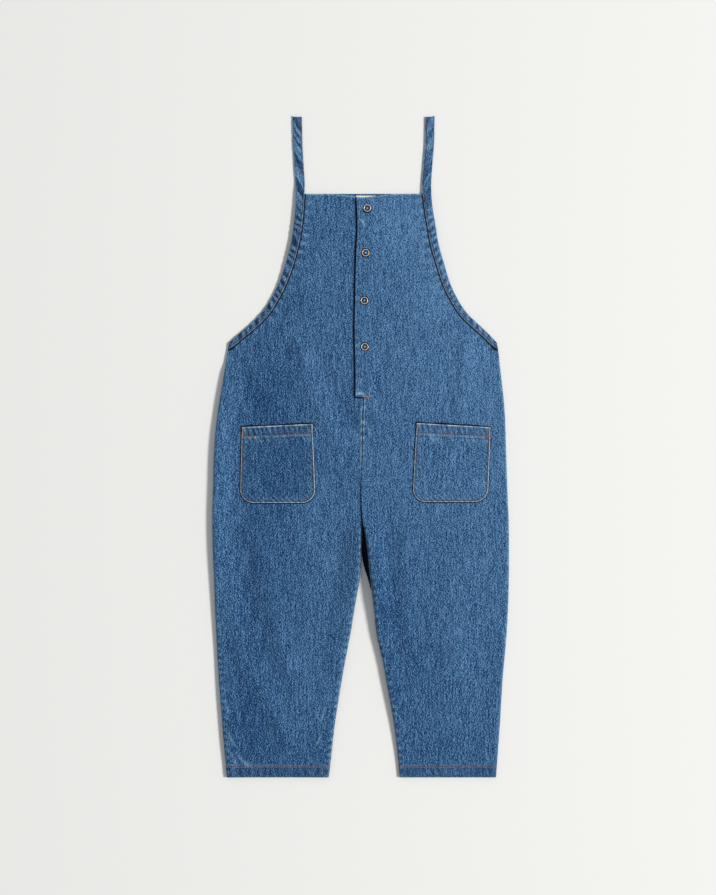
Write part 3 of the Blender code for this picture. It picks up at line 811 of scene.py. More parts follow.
def cloth_object(name, points, looks, outside_up, wall, material):
    """A wall of cloth on a grid of points."""
    rows, columns = points.shape[:2]
    index = np.arange(rows * columns).reshape(rows, columns)
    quads = np.stack([index[:-1, :-1], index[:-1, 1:], index[1:, 1:], index[1:, :-1]], axis=-1)
    corners = points.reshape(-1, 3)
    first = quads.reshape(-1, 4)
    start = corners[first[:, 0]]
    facing = np.cross(corners[first[:, 1]] - start, corners[first[:, 3]] - start)
    if (facing[:, 2].sum() > 0) != outside_up:
        first = first[:, ::-1]
    obj = denim_object(name, corners, first, looks, material)
    thick = obj.modifiers.new("wall", "SOLIDIFY")
    thick.thickness = wall * MM
    thick.offset = -1.0
    thick.use_even_offset = True
    return obj


def denim_object(name, corners, faces, looks, material):
    """A piece of denim from points in millimetres; looks are its grain, wear, painted shade and
    tone.
    """
    mesh = bpy.data.meshes.new(name)
    mesh.from_pydata((corners * MM).tolist(), [], faces.tolist())
    dress(mesh, *looks)
    return placed(name, mesh, material)


def placed(name, mesh, material):
    """An object of a finished mesh, riding on the garment's one body."""
    mesh.shade_smooth()
    mesh.materials.append(material)
    obj = bpy.data.objects.new(name, mesh)
    bpy.context.scene.collection.objects.link(obj)
    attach(obj, "root")
    return obj


def panel_tone(side, x, y):
    """How pale a front panel reads: the wash's fading with painted light and shade from the table
    of places, paler towards the bib and on the folds' ridges, and paler on the left, the window's
    side, as painted light.
    """
    tone = FRONT_TONE + 0.05 * smooth_step(-60.0, 260.0, y) + (0.03 if side == "left" else 0.0)
    for fade_x, fade_y, half_x, half_y, change in PAINTED_LIGHT_AND_FADES:
        away = ((x - fade_x) / half_x) ** 2 + ((y - fade_y) / half_y) ** 2
        tone = tone + change * np.exp(-away)
    return tone + 0.04 * soft_noise(x, y, 30.0, 70.0, 5) + 0.02 * fold_height(x, y)


def panel_levels(low, high, spacing, marks):
    """Rows of a panel: evenly spaced, with closer ones at the hem's fold and at marks."""
    angles = np.linspace(0.0, math.pi / 2, 5)
    foot = low + EDGE_ROLL * (1.0 - np.cos(angles))
    even = np.arange(low + EDGE_ROLL + spacing, high, spacing)
    levels = np.unique(np.concatenate([foot, even, [high], marks]))
    kept = [levels[0]]
    for level in levels[1:]:
        if level - kept[-1] > 0.3 or level in marks:
            kept.append(level)
    return np.array(kept)


def panel(name, side, on_front, material):
    """A front or back panel, from its hem to the neck edge."""
    spacing = FINE if on_front else COARSE
    inner_edge = front_inner_edge if on_front else back_inner_edge
    top_y = FRONT_TOP_Y if on_front else BACK_TOP_Y
    marks = (UNDERARM_Y, SLOT_FOOT_Y)
    if on_front:
        marks = (JOG_Y, PLACKET_FOOT_Y) + marks
    levels = panel_levels(HEM_Y, top_y, spacing, marks)
    shares = shares_across(ROW_WIDE, spacing) / ROW_WIDE
    inner, outer = inner_edge(side, levels), outer_edge(side, levels)
    width = np.abs(outer - inner)
    # the rims keep their width whatever the row's, and the rest spreads between them
    rim_share = RIM_WIDE / ROW_WIDE
    near, far = shares < rim_share, shares > 1.0 - rim_share
    along = np.empty((len(levels), len(shares)))
    along[:, near] = shares[near] * ROW_WIDE
    along[:, far] = width[:, None] - (1.0 - shares[far]) * ROW_WIDE
    inside = (shares[~near & ~far] - rim_share) / (1.0 - 2 * rim_share)
    along[:, ~near & ~far] = RIM_WIDE + inside * (width[:, None] - 2 * RIM_WIDE)
    x = inner[:, None] + np.sign(outer - inner)[:, None] * along
    y = np.repeat(levels[:, None], len(shares), axis=1)
    surface = front_surface if on_front else back_surface
    z, worn, deep = surface(side, x, y)
    seen_y = y - neck_dip(x, y) if on_front else y
    points = np.stack([x, seen_y, z], axis=-1)
    grain = np.stack([x, seen_y], axis=-1)
    looks = (grain, worn, deep, BACK_TONE, painted_crotch_shadow(side, x, y))
    if on_front:
        looks = (grain, worn, deep, panel_tone(side, x, y), painted_shadow_gap(side, x, y))
    obj = cloth_object(f"{name}_cloth", points, looks, on_front, SHELL, material)
    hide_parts(name)


class Pocket:
    """A patch pocket: where its outline runs and how its surface lies on the front."""

    def __init__(self, row):
        self.side = row[0]
        self.mouth_right, self.mouth_left = np.array(row[1:3]), np.array(row[3:5])
        self.foot_right, self.foot_left, self.foot_y = row[5:8]
        self.height = (self.mouth_right[1] + self.mouth_left[1]) / 2 - self.foot_y
        self.wide = self.mouth_left[0] - self.mouth_right[0]

    def place(self, across, level):
        """x and y of points given as a share across and a level above the foot."""
        up = level / self.height
        right = mix(self.foot_right, self.mouth_right[0], up)
        left = mix(self.foot_left, self.mouth_left[0], up)
        mouth_y = mix(self.mouth_right[1], self.mouth_left[1], across)
        return mix(right, left, across), self.foot_y + up * (mouth_y - self.foot_y)

    def shares(self, x, y):
        """The share across and the level above the foot of points given by x and y."""
        mouth_y = (self.mouth_right[1] + self.mouth_left[1]) / 2
        for _ in range(2):
            up = (y - self.foot_y) / (mouth_y - self.foot_y)
            right = mix(self.foot_right, self.mouth_right[0], up)
            left = mix(self.foot_left, self.mouth_left[0], up)
            across = (x - right) / (left - right)
            mouth_y = mix(self.mouth_right[1], self.mouth_left[1], np.clip(across, 0.0, 1.0))
        return across, up * self.height

    def inside(self, across, level):
        """Distance inside the sides and foot, with round lower corners."""
        right, left = across * self.wide, (1.0 - across) * self.wide
        nearest = np.minimum(right, left)
        beside, below = positive(POCKET_CORNER - nearest), positive(POCKET_CORNER - level)
        corner = POCKET_CORNER - np.hypot(beside, below)
        both = (nearest < POCKET_CORNER) & (level < POCKET_CORNER)
        return np.where(both, corner, np.minimum(nearest, level))

    def surface(self, across, level):
        """(x, y, z, worn, painted shade) of the pocket's outer face."""
        x, y = self.place(across, level)
        panel_top, _, _ = front_surface(self.side, x, y)
        inside = self.inside(across, level)
        hem_foot = self.height - POCKET_HEM
        in_hem = smooth_step(hem_foot - 0.8, hem_foot + 0.4, level)
        mouth = self.height - level
        gape = POCKET_GAPE * np.sin(math.pi * across) * smooth_step(30.0, 0.0, mouth)
        around = level + np.where(across < 0.5, 0.0, 37.0) + across * self.wide
        low = smooth_step(36.0, 12.0, level)
        pucker = seam_pucker(positive(inside - 3.0), around, 7.0, 4.5, 71)
        pucker = pucker * (0.4 + 0.6 * low)
        slant = seam_pucker(np.abs(mouth - 5.5), across * self.wide - 0.35 * mouth, 6.8, 7.0, 81)
        stitch = peak(inside - POCKET_STITCH, 0.7) * (mouth > 0.5)
        hem_stitch = peak(level - hem_foot, 0.8)
        swell = 0.35 * smooth_step(0.0, 14.0, inside)
        z = panel_top + LAID_GAP + SHELL + gape + 0.6 * in_hem + swell
        z = z + 0.3 * pucker + 0.2 * slant * in_hem - 0.22 * stitch - 0.3 * hem_stitch
        z = z - 0.5 * rounded_edge(inside, 0.4) - 0.4 * rounded_edge(mouth, 0.5)
        below = hem_foot - level
        streak = positive(soft_line(x + 0.5 * y, 2.2, 91)) ** 2
        broken = 1.0 + 0.5 * soft_line(x, 5.0, 95)
        worn = 0.95 * positive(pucker) + 0.55 * positive(slant) * in_hem
        worn = worn + 1.6 * peak(inside, 0.75, 4) + 1.55 * broken * peak(mouth, 1.2, 4)
        worn = worn + 0.5 * peak(below - 1.7, 0.8)
        worn = worn + 0.9 * streak * smooth_step(13.0, 3.0, below) * (below > 0.0)
        # painted shade in the puckers' troughs, over the hem band, in a line below it and along the
        # stitching
        deep = 0.7 * positive(-pucker) + 0.6 * positive(-slant) * in_hem + 0.2 * in_hem
        deep = deep + 0.55 * peak(below - 3.6, 0.9)
        return x, y, z, worn, deep + 1.1 * stitch + 0.5 * hem_stitch

    def make(self, material):
        """The pocket's shell."""
        angles = np.linspace(0.0, math.pi / 2, 12)
        low = POCKET_CORNER * (1.0 - np.cos(angles))
        levels = np.concatenate([low, np.linspace(POCKET_CORNER, self.height - 1.4, 62)[1:]])
        levels = np.concatenate([levels, self.height - 1.4 * (1 - np.sin(angles[2::2]))])
        below = positive(POCKET_CORNER - levels)
        inset = POCKET_CORNER - np.sqrt(positive(POCKET_CORNER**2 - below**2))
        edge = EDGE_ROLL * (1.0 - np.cos(np.linspace(0.0, math.pi / 2, 5)))
        middle = np.linspace(EDGE_ROLL, self.wide - EDGE_ROLL, 66)[1:-1]
        spots = np.concatenate([edge, middle, (self.wide - edge)[::-1]])
        half = self.wide / 2
        squeeze = (half - inset) / half
        across = 0.5 + (spots[None, :] / self.wide - 0.5) * squeeze[:, None]
        level = np.repeat(levels[:, None], len(spots), axis=1)
        x, y, z, worn, deep = self.surface(across, level)
        points = np.stack([x, y, z], axis=-1)
        grain = np.stack([x, y], axis=-1) + POCKET_GRAIN
        name = f"pocket_{self.side}"
        looks = (grain, worn, deep, POCKET_TONE[self.side])
        obj = cloth_object(f"{name}_cloth", points, looks, True, SHELL, material)
        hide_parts(name)

    def stitch_path(self):
        """Across and level along the topstitching, from one mouth corner round to the other."""
        reach = POCKET_CORNER - POCKET_STITCH
        turn = np.linspace(0.0, math.pi / 2, 14)
        down = np.linspace(self.height - 1.0, POCKET_CORNER, 30)
        right = POCKET_STITCH + 0 * down
        aside = POCKET_CORNER - reach * np.cos(turn)
        low = POCKET_CORNER - reach * np.sin(turn)
        foot = np.linspace(POCKET_CORNER, self.wide - POCKET_CORNER, 24)
        spots = [right, aside, foot, (self.wide - aside)[::-1], self.wide - right]
        levels = [down, low, POCKET_STITCH + 0 * foot, low[::-1], down[::-1]]
        return np.concatenate(spots) / self.wide, np.concatenate(levels)

    def path(self, across, levels):
        """A path on the pocket's outer face."""
        return np.stack(self.surface(across, levels)[:3], axis=1)


POCKET_OF = {row[0]: Pocket(row) for row in POCKETS}


def strip_outline(width, thick, leg, slot):
    """The folded strip's section as (across, out): out is 0 on its inner face.

    The arrays have a row for each level and a column for each point of the outline.
    """
    half_turn = np.linspace(0.0, math.pi / 2, 4)
    spread = np.linspace(0.0, 1.0, 16)
    width, thick, leg, slot = (value[:, None] for value in (width, thick, leg, slot))
    corner = 0.48 * thick
    low_turn = corner * (1 - np.sin(half_turn)), corner * (1 - np.cos(half_turn))
    high_turn = corner - corner * np.cos(half_turn), corner * np.sin(half_turn) - corner
    face = mix(corner, width - 0.4, spread[None, 1:])
    puff = np.sin(math.pi * np.clip((face - 0.2) / (width - BINDING_STITCH), 0.0, 1.0)) ** 0.7
    sunk = peak(face - width + BINDING_STITCH, 0.8)
    under = spread[None, ::-3][:, 1:-1]
    parts = [
        (width, 0.25),
        (width - 0.4, 0.0),
        (mix(corner, width - 0.4, under), 0 * under),
        low_turn,
        (high_turn[0], thick + high_turn[1]),
        (face, thick + 0.3 * puff - 0.3 * sunk),
        (width, thick - 0.4),
        (width, thick - leg),
        (slot, thick - leg),
        (slot, leg),
        (width, leg),
    ]
    across, out = (np.concatenate([part[i] + 0 * thick for part in parts], axis=1) for i in (0, 1))
    return across, out


class Binding:
    """One bias strip: round the front armhole, over the shoulder, down the back armhole."""

    def __init__(self, side):
        self.side = side
        self.looks = STRIPS[side]
        self.pitch, self.seed = self.looks["pitch"], self.looks["seed"]
        self.levels = binding_levels(1.3)

    def section(self, levels):
        """Frame and section sizes along the strip's flat runs."""
        outer, across, width, run = binding_frame(self.side, levels)
        on_strap = smooth_step(BACK_TOP_Y + 0.8, BACK_TOP_Y + 4.0, levels)
        thick = mix(BINDING_THICK, STRAP_THICK, on_strap)
        leg = mix(LEG_THICK, (STRAP_THICK - SEAM_GAP) / 2, on_strap)
        slot = mix(SLOT_WALL, width - STRAP_NOTCH, on_strap)
        lowered = smooth_step(BACK_TOP_Y + 2.0, BACK_TOP_Y + 30.0, levels)
        base = mix(front_binding_base(levels), FRONT_STRAP_Z, lowered)
        return outer, across, width, run, thick, leg, slot, base

    def rope(self, run, inwards, width):
        """The slanted puckers that the stitching pulls into the strip, about -1 to 1."""
        lean = 0.55 * self.pitch * inwards / width
        bent = run + lean + 0.5 * self.pitch * soft_line(run, 19.0, self.seed)
        wave = np.sin(2 * math.pi * bent / self.pitch)
        wave = np.sign(wave) * np.abs(wave) ** 0.6
        loose = smooth_step(LOOSE_FROM, LOOSE_TO, run)
        creases = 1.5 * soft_noise(run + 1.7 * inwards, inwards, 5.5, 26.0, self.seed + 2)
        uneven = 0.68 + 0.6 * soft_noise(run, inwards, 9.0, 5.0, self.seed + 1)
        across = np.sin(math.pi * np.clip(inwards / width, 0.06, 0.98)) ** 0.5
        return mix(wave * uneven, creases, 0.75 * loose) * across

    def shape(self, levels, on_front):
        """Points, grain, worn and painted shade of the sections along one flat run."""
        outer, across, width, run, thick, leg, slot, base = self.section(levels)
        inwards, out = strip_outline(width, thick, leg, slot)
        rope = self.rope(run[:, None] + 0 * inwards, inwards, width[:, None])
        on_face = smooth_step(0.45, 0.9, out / thick[:, None])
        swell = 0.42 * rope * on_face * (1.0 if on_front else 0.0)
        wobble = 0.22 * rope * (inwards < 1.0)
        plan = outer[:, None, :] + across[:, None, :] * (inwards - wobble)[..., None]
        z = base[:, None] + out + swell
        if not on_front:
            z = thick[:, None] - np.minimum(out + swell, thick[:, None])
        points = np.concatenate([plan, z[..., None]], axis=-1)
        grain = self.grain(inwards, out, run[:, None])
        worn = 0.55 * positive(rope) * on_face + 0.12 * (inwards < 0.8)
        worn = worn + 0.9 * smooth_step(0.95, 0.35, width[:, None] - inwards) * on_face
        stitch = peak(inwards - width[:, None] + BINDING_STITCH, 0.7) * on_face
        # painted shade in the rope's troughs and along the stitching
        deep = self.looks["dark"] * positive(-rope) * on_face + 0.5 * stitch
        return points, grain, worn, deep

    def grain(self, inwards, out, run):
        """Where points of the strip lie on its cloth."""
        return np.stack([inwards + out * 0.5 + STRIP_GRAIN, run + 0 * inwards], axis=-1)

    def shoulder(self, level, turns):
        """Sections round the shoulder fold; turns run from 90 degrees to -90."""
        levels = np.append(self.levels[-2:], level)
        outer, across, width, run, thick, leg, slot, _ = self.section(levels)
        inwards, out = strip_outline(*(value[-1:] for value in (width, thick, leg, slot)))
        inwards, out = inwards[0], out[0]
        pivot = (FRONT_STRAP_Z + STRAP_THICK) / 2
        radius = out + SEAM_GAP / 2
        rings, grains = [], []
        for turn in turns:
            narrowed = inwards + 1.1 * math.cos(turn) ** 2 * (1.0 - 2.0 * inwards / width[-1])
            plan = outer[-1] + across[-1] * narrowed[:, None]
            y = level + radius * math.cos(turn)
            rings.append(np.stack([plan[:, 0], y, pivot + radius * math.sin(turn)], axis=-1))
            grains.append(self.grain(inwards, out, run[-1] + STRAP_THICK * (math.pi / 2 - turn)))
        flat = np.zeros((len(rings), len(inwards)))
        return np.array(rings), np.array(grains), flat + 0.3, flat

    def make(self, material):
        """The strip's shell: its front run, the shoulder fold and its back run."""
        runs = [
            self.shape(self.levels, True),
            self.shoulder(self.levels[-1], np.radians(np.linspace(75.0, -75.0, 11))),
            [values[::-1] for values in self.shape(self.levels[::2], False)],
        ]
        points, grain, worn, deep = (np.concatenate([run[i] for run in runs]) for i in range(4))
        rings, count = points.shape[:2]
        index = np.arange(rings * count).reshape(rings, count)
        after = np.roll(index, -1, axis=1)
        quads = np.stack([index[:-1], after[:-1], after[1:], index[1:]], axis=-1).reshape(-1, 4)
        name = f"binding_{self.side}"
        to_strap = smooth_step(FADED_FROM, FADED_TO, grain[..., 1])
        tone = mix(self.looks["by_armhole"], self.looks["on_strap"], to_strap)
        corners = points.reshape(-1, 3)
        obj = denim_object(f"{name}_strip", corners, quads, (grain, worn, deep, tone), material)
        close_up(obj.data)
        obj.data.set_sharp_from_angle(angle=math.radians(55.0))
        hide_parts(name)

    def stitch_points(self):
        """The line of topstitching on the strip's front, from the underarm up."""
        outer, across, width, run, thick, _, _, base = self.section(binding_levels(1.0))
        on_strap = smooth_step(BACK_TOP_Y, BACK_TOP_Y + 30.0, outer[:, 1])
        inwards = mix(width - BINDING_STITCH, width - STRAP_STITCH, on_strap)
        plan = outer + across * inwards[:, None]
        z = base + thick + 0.05 + 0.25 * self.rope(run, inwards, width)
        return np.concatenate([plan, z[:, None]], axis=1)[3:]


def close_up(mesh):
    """Caps a mesh's open ends and turns all its faces outwards."""
    build = bmesh.new()
    build.from_mesh(mesh)
    ends = [edge for edge in build.edges if edge.is_boundary]
    bmesh.ops.holes_fill(build, edges=ends, sides=0)
    bmesh.ops.recalc_face_normals(build, faces=build.faces)
    build.to_mesh(mesh)
    build.free()


def built_mesh(build, name):
    """The finished mesh of what bmesh has built."""
    mesh = bpy.data.meshes.new(name)
    build.to_mesh(mesh)
    build.free()
    return mesh


def resampled(path, pitch):
    """Points of a path a pitch apart, with the way along it at each."""
    path = np.asarray(path, float)
    length = run_lengths(path)
    count = max(1, round(length[-1] / pitch))
    spots = (np.arange(count) + 0.5) * length[-1] / count

    def at(places):
        return np.stack([np.interp(places, length, path[:, i]) for i in range(3)], axis=1)

    ahead = at(spots + 0.3) - at(spots - 0.3)
    return at(spots), ahead / np.linalg.norm(ahead, axis=1)[:, None]


def thread_mesh(name, centres, ahead, long, radius, arch, material, seed):
    """Short arched threads, one at each centre, joined into one mesh."""
    steps = np.linspace(-1.0, 1.0, 7)
    round_angles = np.linspace(0.0, 2 * math.pi, 7)[:-1]
    slim = np.sqrt(np.maximum(1.0 - np.abs(steps) ** 4, 0.05))
    rise = arch * (1.0 - steps**2) - 0.12
    random = np.random.default_rng(seed)
    points, faces = [], []
    count = len(steps) * len(round_angles)
    ring = np.arange(count).reshape(len(steps), len(round_angles))
    after = np.roll(ring, -1, axis=1)
    sides = np.stack([ring[:-1], ring[1:], after[1:], after[:-1]], axis=-1).reshape(-1, 4).tolist()
    ends = [ring[0].tolist(), ring[-1][::-1].tolist()]
    up = np.array([0.0, 0.0, 1.0])
    for number, (centre, way) in enumerate(zip(centres, ahead)):
        aside = np.cross(up, way)
        aside /= np.linalg.norm(aside)
        over = np.cross(way, aside)
        lean = random.uniform(-0.07, 0.07)
        length = long * random.uniform(0.92, 1.06)
        spine = centre + np.outer(steps * length / 2, way + lean * aside) + np.outer(rise, over)
        circle = np.outer(np.cos(round_angles), aside)
        circle = circle + 0.8 * np.outer(np.sin(round_angles), over)
        points += [spine[i] + radius * slim[i] * circle for i in range(len(steps))]
        faces += [[corner + number * count for corner in face] for face in sides + ends]
    mesh = bpy.data.meshes.new(name)
    mesh.from_pydata((np.concatenate(points) * MM).tolist(), [], faces)
    close_up(mesh)
    placed(name, mesh, material)


def run_of_stitches(name, path, material, seed):
    """A row of lockstitch along a path that lies on the cloth."""
    centres, ahead = resampled(path, STITCH_PITCH)
    long = STITCH_PITCH * 1.04
    thread_mesh(name, centres, ahead, long, STITCH_RADIUS, STITCH_ARCH, material, seed)


def satin_bar(name, path, wide, material, seed):
    """A bartack: threads packed side by side across a short path."""
    centres, ahead = resampled(path, BAR_PITCH)
    across = np.cross(ahead, np.array([0.0, 0.0, 1.0]))
    across /= np.linalg.norm(across, axis=1)[:, None]
    centres = centres + (0.0, 0.0, 0.08)
    thread_mesh(name, centres, across, wide, BAR_RADIUS, BAR_ARCH, material, seed)


def front_path(side, x, y):
    """A path on a front panel's outer face."""
    return np.stack([x, y, front_surface(side, x, y)[0]], axis=1)


def new_group(name, inputs, outputs):
    """A node group: inputs with their values, None for a vector, and outputs with their kinds."""
    group = bpy.data.node_groups.new(name, "ShaderNodeTree")
    for title, value in inputs.items():
        kind = "NodeSocketVector" if value is None else "NodeSocketFloat"
        socket = group.interface.new_socket(title, in_out="INPUT", socket_type=kind)
        if value is not None:
            socket.default_value = value
    for title, kind in outputs.items():
        group.interface.new_socket(title, in_out="OUTPUT", socket_type=kind)
    return group


def new_material(name, **values):
    """A material, its node helper and its shader, whose named sockets get the values."""
    material = bpy.data.materials.new(name)
    material.use_nodes = True
    shader = material.node_tree.nodes["Principled BSDF"]
    for title, value in values.items():
        shader.inputs[title.replace("_", " ")].default_value = value
    return material, Nodes(material.node_tree), shader


class Nodes:
    """Adds nodes to a tree and links them, with sockets or plain values as inputs."""

    def __init__(self, tree):
        self.tree = tree

    def add(self, kind, settings=None, **inputs):
        node = self.tree.nodes.new(kind)
        for title, value in (settings or {}).items():
            setattr(node, title, value)
        for title, value in inputs.items():
            socket = node.inputs[title.replace("_", " ")]
            self.feed(socket, value)
        return node

    def feed(self, socket, value):
        if isinstance(value, bpy.types.NodeSocket):
            self.tree.links.new(value, socket)
        else:
            socket.default_value = value

    def math(self, operation, first, second=0.0, clamp=False):
        node = self.tree.nodes.new("ShaderNodeMath")
        node.operation = operation
        node.use_clamp = clamp
        self.feed(node.inputs[0], first)
        self.feed(node.inputs[1], second)
        return node.outputs[0]

    def blend(self, share, first, second):
        node = self.tree.nodes.new("ShaderNodeMix")
        node.data_type = "RGBA"
        self.feed(node.inputs[0], share)
        self.feed(node.inputs[6], first)
        self.feed(node.inputs[7], second)
        return node.outputs[2]

    def stretched(self, vector, x, y, turn=0.0):
        """The vector turned and scaled to cycles for each metre along x and y."""
        around = {"rotation_type": "Z_AXIS"}
        turned = self.add("ShaderNodeVectorRotate", around, Vector=vector, Angle=turn)
        scaled = self.add("ShaderNodeVectorMath", {"operation": "MULTIPLY"})
        self.feed(scaled.inputs[0], turned.outputs[0])
        self.feed(scaled.inputs[1], (x, y, 1.0))
        return scaled.outputs[0]

    def noise(self, vector, detail=2.0, rough=0.5):
        values = {"Scale": 1.0, "Detail": detail, "Roughness": rough}
        return self.add("ShaderNodeTexNoise", Vector=vector, **values).outputs["Fac"]

    def cells(self, vector):
        """A random value for each small cell of the weave."""
        node = self.add("ShaderNodeTexVoronoi", Vector=vector, Scale=1.0, Randomness=1.0)
        parts = self.add("ShaderNodeSeparateColor", Color=node.outputs["Color"])
        return parts.outputs[0]

    def remap(self, value, low, high, to_low=0.0, to_high=1.0):
        limits = {"From_Min": low, "From_Max": high, "To_Min": to_low, "To_Max": to_high}
        return self.add("ShaderNodeMapRange", Value=value, **limits).outputs[0]

    def bump(self, shader, height, strength, distance):
        """Raises the shader's surface by a height, at most a distance in metres."""
        node = self.add("ShaderNodeBump", Height=height, Strength=strength, Distance=distance)
        self.feed(shader.inputs["Normal"], node.outputs[0])


# Denim's colours from unfaded to bare, the painted shade in creases and the painted shadow beside a
# covering edge
DEEP_BLUE = (0.001, 0.011, 0.056, 1.0)
MID_BLUE = (0.019, 0.087, 0.206, 1.0)
PALE_BLUE = (0.152, 0.310, 0.535, 1.0)
WORN_BLUE = (0.270, 0.470, 0.660, 1.0)
BARE_THREAD = (0.860, 0.870, 0.850, 1.0)
SHADE_BLUE = (0.003, 0.014, 0.045, 1.0)
PAINTED_SHADOW = (0.001, 0.006, 0.020, 1.0)

# The denim's textures: cycles for each metre across and along the warp, and their turn
TWILL = (1150.0, 1150.0, math.radians(62.0))
FLECKS = (1060.0, 980.0, math.radians(-8.0))
FINE_FLECKS = (680.0, 620.0, math.radians(24.0))
GRIT = (900.0, 600.0, math.radians(-12.0))
SLUBS = (480.0, 30.0)
THIN_SLUBS = (900.0, 90.0)
CLOUDS = (120.0, 20.0)
WORN_PATCHES = (420.0, 130.0)
WARP_ON = (0.0013, 0.0, 0.0)  # from one warp thread to the next, in metres


def washed_denim_group():
    """Washed denim: twill ribs, slubs along the warp, pale flecks and rubbed ridges, with painted
    shade in creases and seams and painted shadow lines beside covering edges.
    """
    group = new_group(
        "washed denim",
        {"Grain": None, "Worn": 0.0, "Deep": 0.0, "Beside": 1.0, "Tone": 0.5},
        {"Colour": "NodeSocketColor", "Roughness": "NodeSocketFloat", "Height": "NodeSocketFloat"},
    )
    nodes = Nodes(group)
    given = group.nodes.new("NodeGroupInput").outputs
    grain = given["Grain"]
    slanted = nodes.stretched(grain, *TWILL)
    wave = {"Vector": slanted, "Scale": 0.16, "Distortion": 1.2, "Detail": 1.0}
    ribs = nodes.add("ShaderNodeTexWave", **wave).outputs["Fac"]
    fleck = nodes.cells(nodes.stretched(grain, *FLECKS))
    # each fleck has a darker twin one warp thread on, which keeps the threads apart
    one_on = nodes.add("ShaderNodeVectorMath", {"operation": "ADD"})
    nodes.feed(one_on.inputs[0], grain)
    one_on.inputs[1].default_value = WARP_ON
    twin = nodes.cells(nodes.stretched(one_on.outputs[0], *FLECKS))
    fine = nodes.noise(nodes.stretched(grain, *FINE_FLECKS), 0.0)
    slub = nodes.noise(nodes.stretched(grain, *SLUBS), 1.0)
    thin_slub = nodes.noise(nodes.stretched(grain, *THIN_SLUBS), 1.0)
    cloud = nodes.noise(nodes.stretched(grain, *CLOUDS), 2.0)
    # how pale each yarn is: the texture, the values it runs between, and what it adds at most
    tone = given["Tone"]
    for texture, low, high, most in (
        (fleck, 0.0, 1.0, 1.3),
        (twin, 0.0, 1.0, -0.5),
        (fine, 0.25, 0.75, 0.55),
        (slub, 0.25, 0.75, 0.48),
        (thin_slub, 0.25, 0.75, 0.42),
        (cloud, 0.3, 0.7, 0.12),
    ):
        tone = nodes.math("ADD", tone, nodes.remap(texture, low, high, -most, most))
    ramp = nodes.add("ShaderNodeValToRGB", Fac=nodes.remap(tone, -1.0, 2.0))
    stops = ramp.color_ramp.elements
    stops.new(0.5)
    for stop, blue in zip(stops, (DEEP_BLUE, MID_BLUE, PALE_BLUE)):
        stop.color = blue
    patchy = nodes.noise(nodes.stretched(grain, *WORN_PATCHES), 1.0)
    patchy = nodes.remap(patchy, 0.3, 0.7, 0.35, 1.35)
    patchy = nodes.math("MULTIPLY", patchy, nodes.remap(fleck, 0.0, 1.0, 0.55, 1.0))
    worn = nodes.math("MULTIPLY", given["Worn"], BARE)
    rubbed = nodes.math("MULTIPLY", worn, patchy, True)
    colour = nodes.blend(rubbed, ramp.outputs["Color"], WORN_BLUE)
    bare = nodes.remap(fleck, 0.0, 1.0, 0.7, 1.0)
    bare = nodes.math("MULTIPLY", nodes.remap(worn, 1.0, BARE), bare, True)
    colour = nodes.blend(bare, colour, BARE_THREAD)
    # painted shade in creases, troughs, seams and along stitching
    sunk = nodes.math("MULTIPLY", given["Deep"], 0.8, True)
    colour = nodes.blend(sunk, colour, SHADE_BLUE)
    # a painted shadow line outside each covering edge, near black at the edge
    near, clear = (float(beside_share(away)) for away in DARK_LINE)
    cover = nodes.remap(given["Beside"], near, clear, 0.97, 0.0)
    colour = nodes.blend(cover, colour, PAINTED_SHADOW)
    grit = nodes.noise(nodes.stretched(grain, *GRIT), 1.0)
    height = nodes.math("MULTIPLY", ribs, 0.55)
    height = nodes.math("ADD", height, nodes.math("MULTIPLY", grit, 0.9))
    height = nodes.math("ADD", height, nodes.math("MULTIPLY", slub, 0.6))
    out = group.nodes.new("NodeGroupOutput")
    nodes.feed(out.inputs["Colour"], colour)
    nodes.feed(out.inputs["Roughness"], nodes.remap(fleck, 0.0, 1.0, 0.92, 0.78))
    nodes.feed(out.inputs["Height"], height)
    return group


def denim_material(name, group):
    """Denim that reads a piece's grain map, its tone with painted light and shade, its rubbed
    places, and its painted shade and shadow lines.
    """
    plain = {"Specular_IOR_Level": 0.12, "Sheen_Weight": 0.04, "Sheen_Roughness": 0.5}
    material, nodes, shader = new_material(name, **plain)
    values = {"Grain": nodes.add("ShaderNodeUVMap", {"uv_map": "grain"}).outputs[0]}
    for title in ("Worn", "Deep", "Tone", "Beside"):
        stored = nodes.add("ShaderNodeAttribute", {"attribute_name": title.lower()})
        values[title] = stored.outputs["Fac"]
    cloth = nodes.add("ShaderNodeGroup", {"node_tree": group}, **values)
    nodes.feed(shader.inputs["Base Color"], cloth.outputs["Colour"])
    nodes.feed(shader.inputs["Roughness"], cloth.outputs["Roughness"])
    nodes.bump(shader, cloth.outputs["Height"], 0.5, 0.0005)
    return material


def thread_material(name, dark, light):
    """Spun sewing thread: two shades along its twist."""
    material, nodes, shader = new_material(name, Roughness=0.6, Sheen_Weight=0.2)
    place = nodes.add("ShaderNodeTexCoord").outputs["Object"]
    uneven = nodes.noise(nodes.stretched(place, 900.0, 900.0), 2.0, 0.6)
    slow = nodes.noise(nodes.stretched(place, 60.0, 60.0), 1.0)
    share = nodes.remap(slow, 0.3, 0.7, 0.0, 0.4)
    share = nodes.math("ADD", nodes.remap(uneven, 0.3, 0.7, 0.1, 0.6), share)
    nodes.feed(shader.inputs["Base Color"], nodes.blend(share, dark, light))
    nodes.bump(shader, uneven, 0.5, 0.0002)
    return material


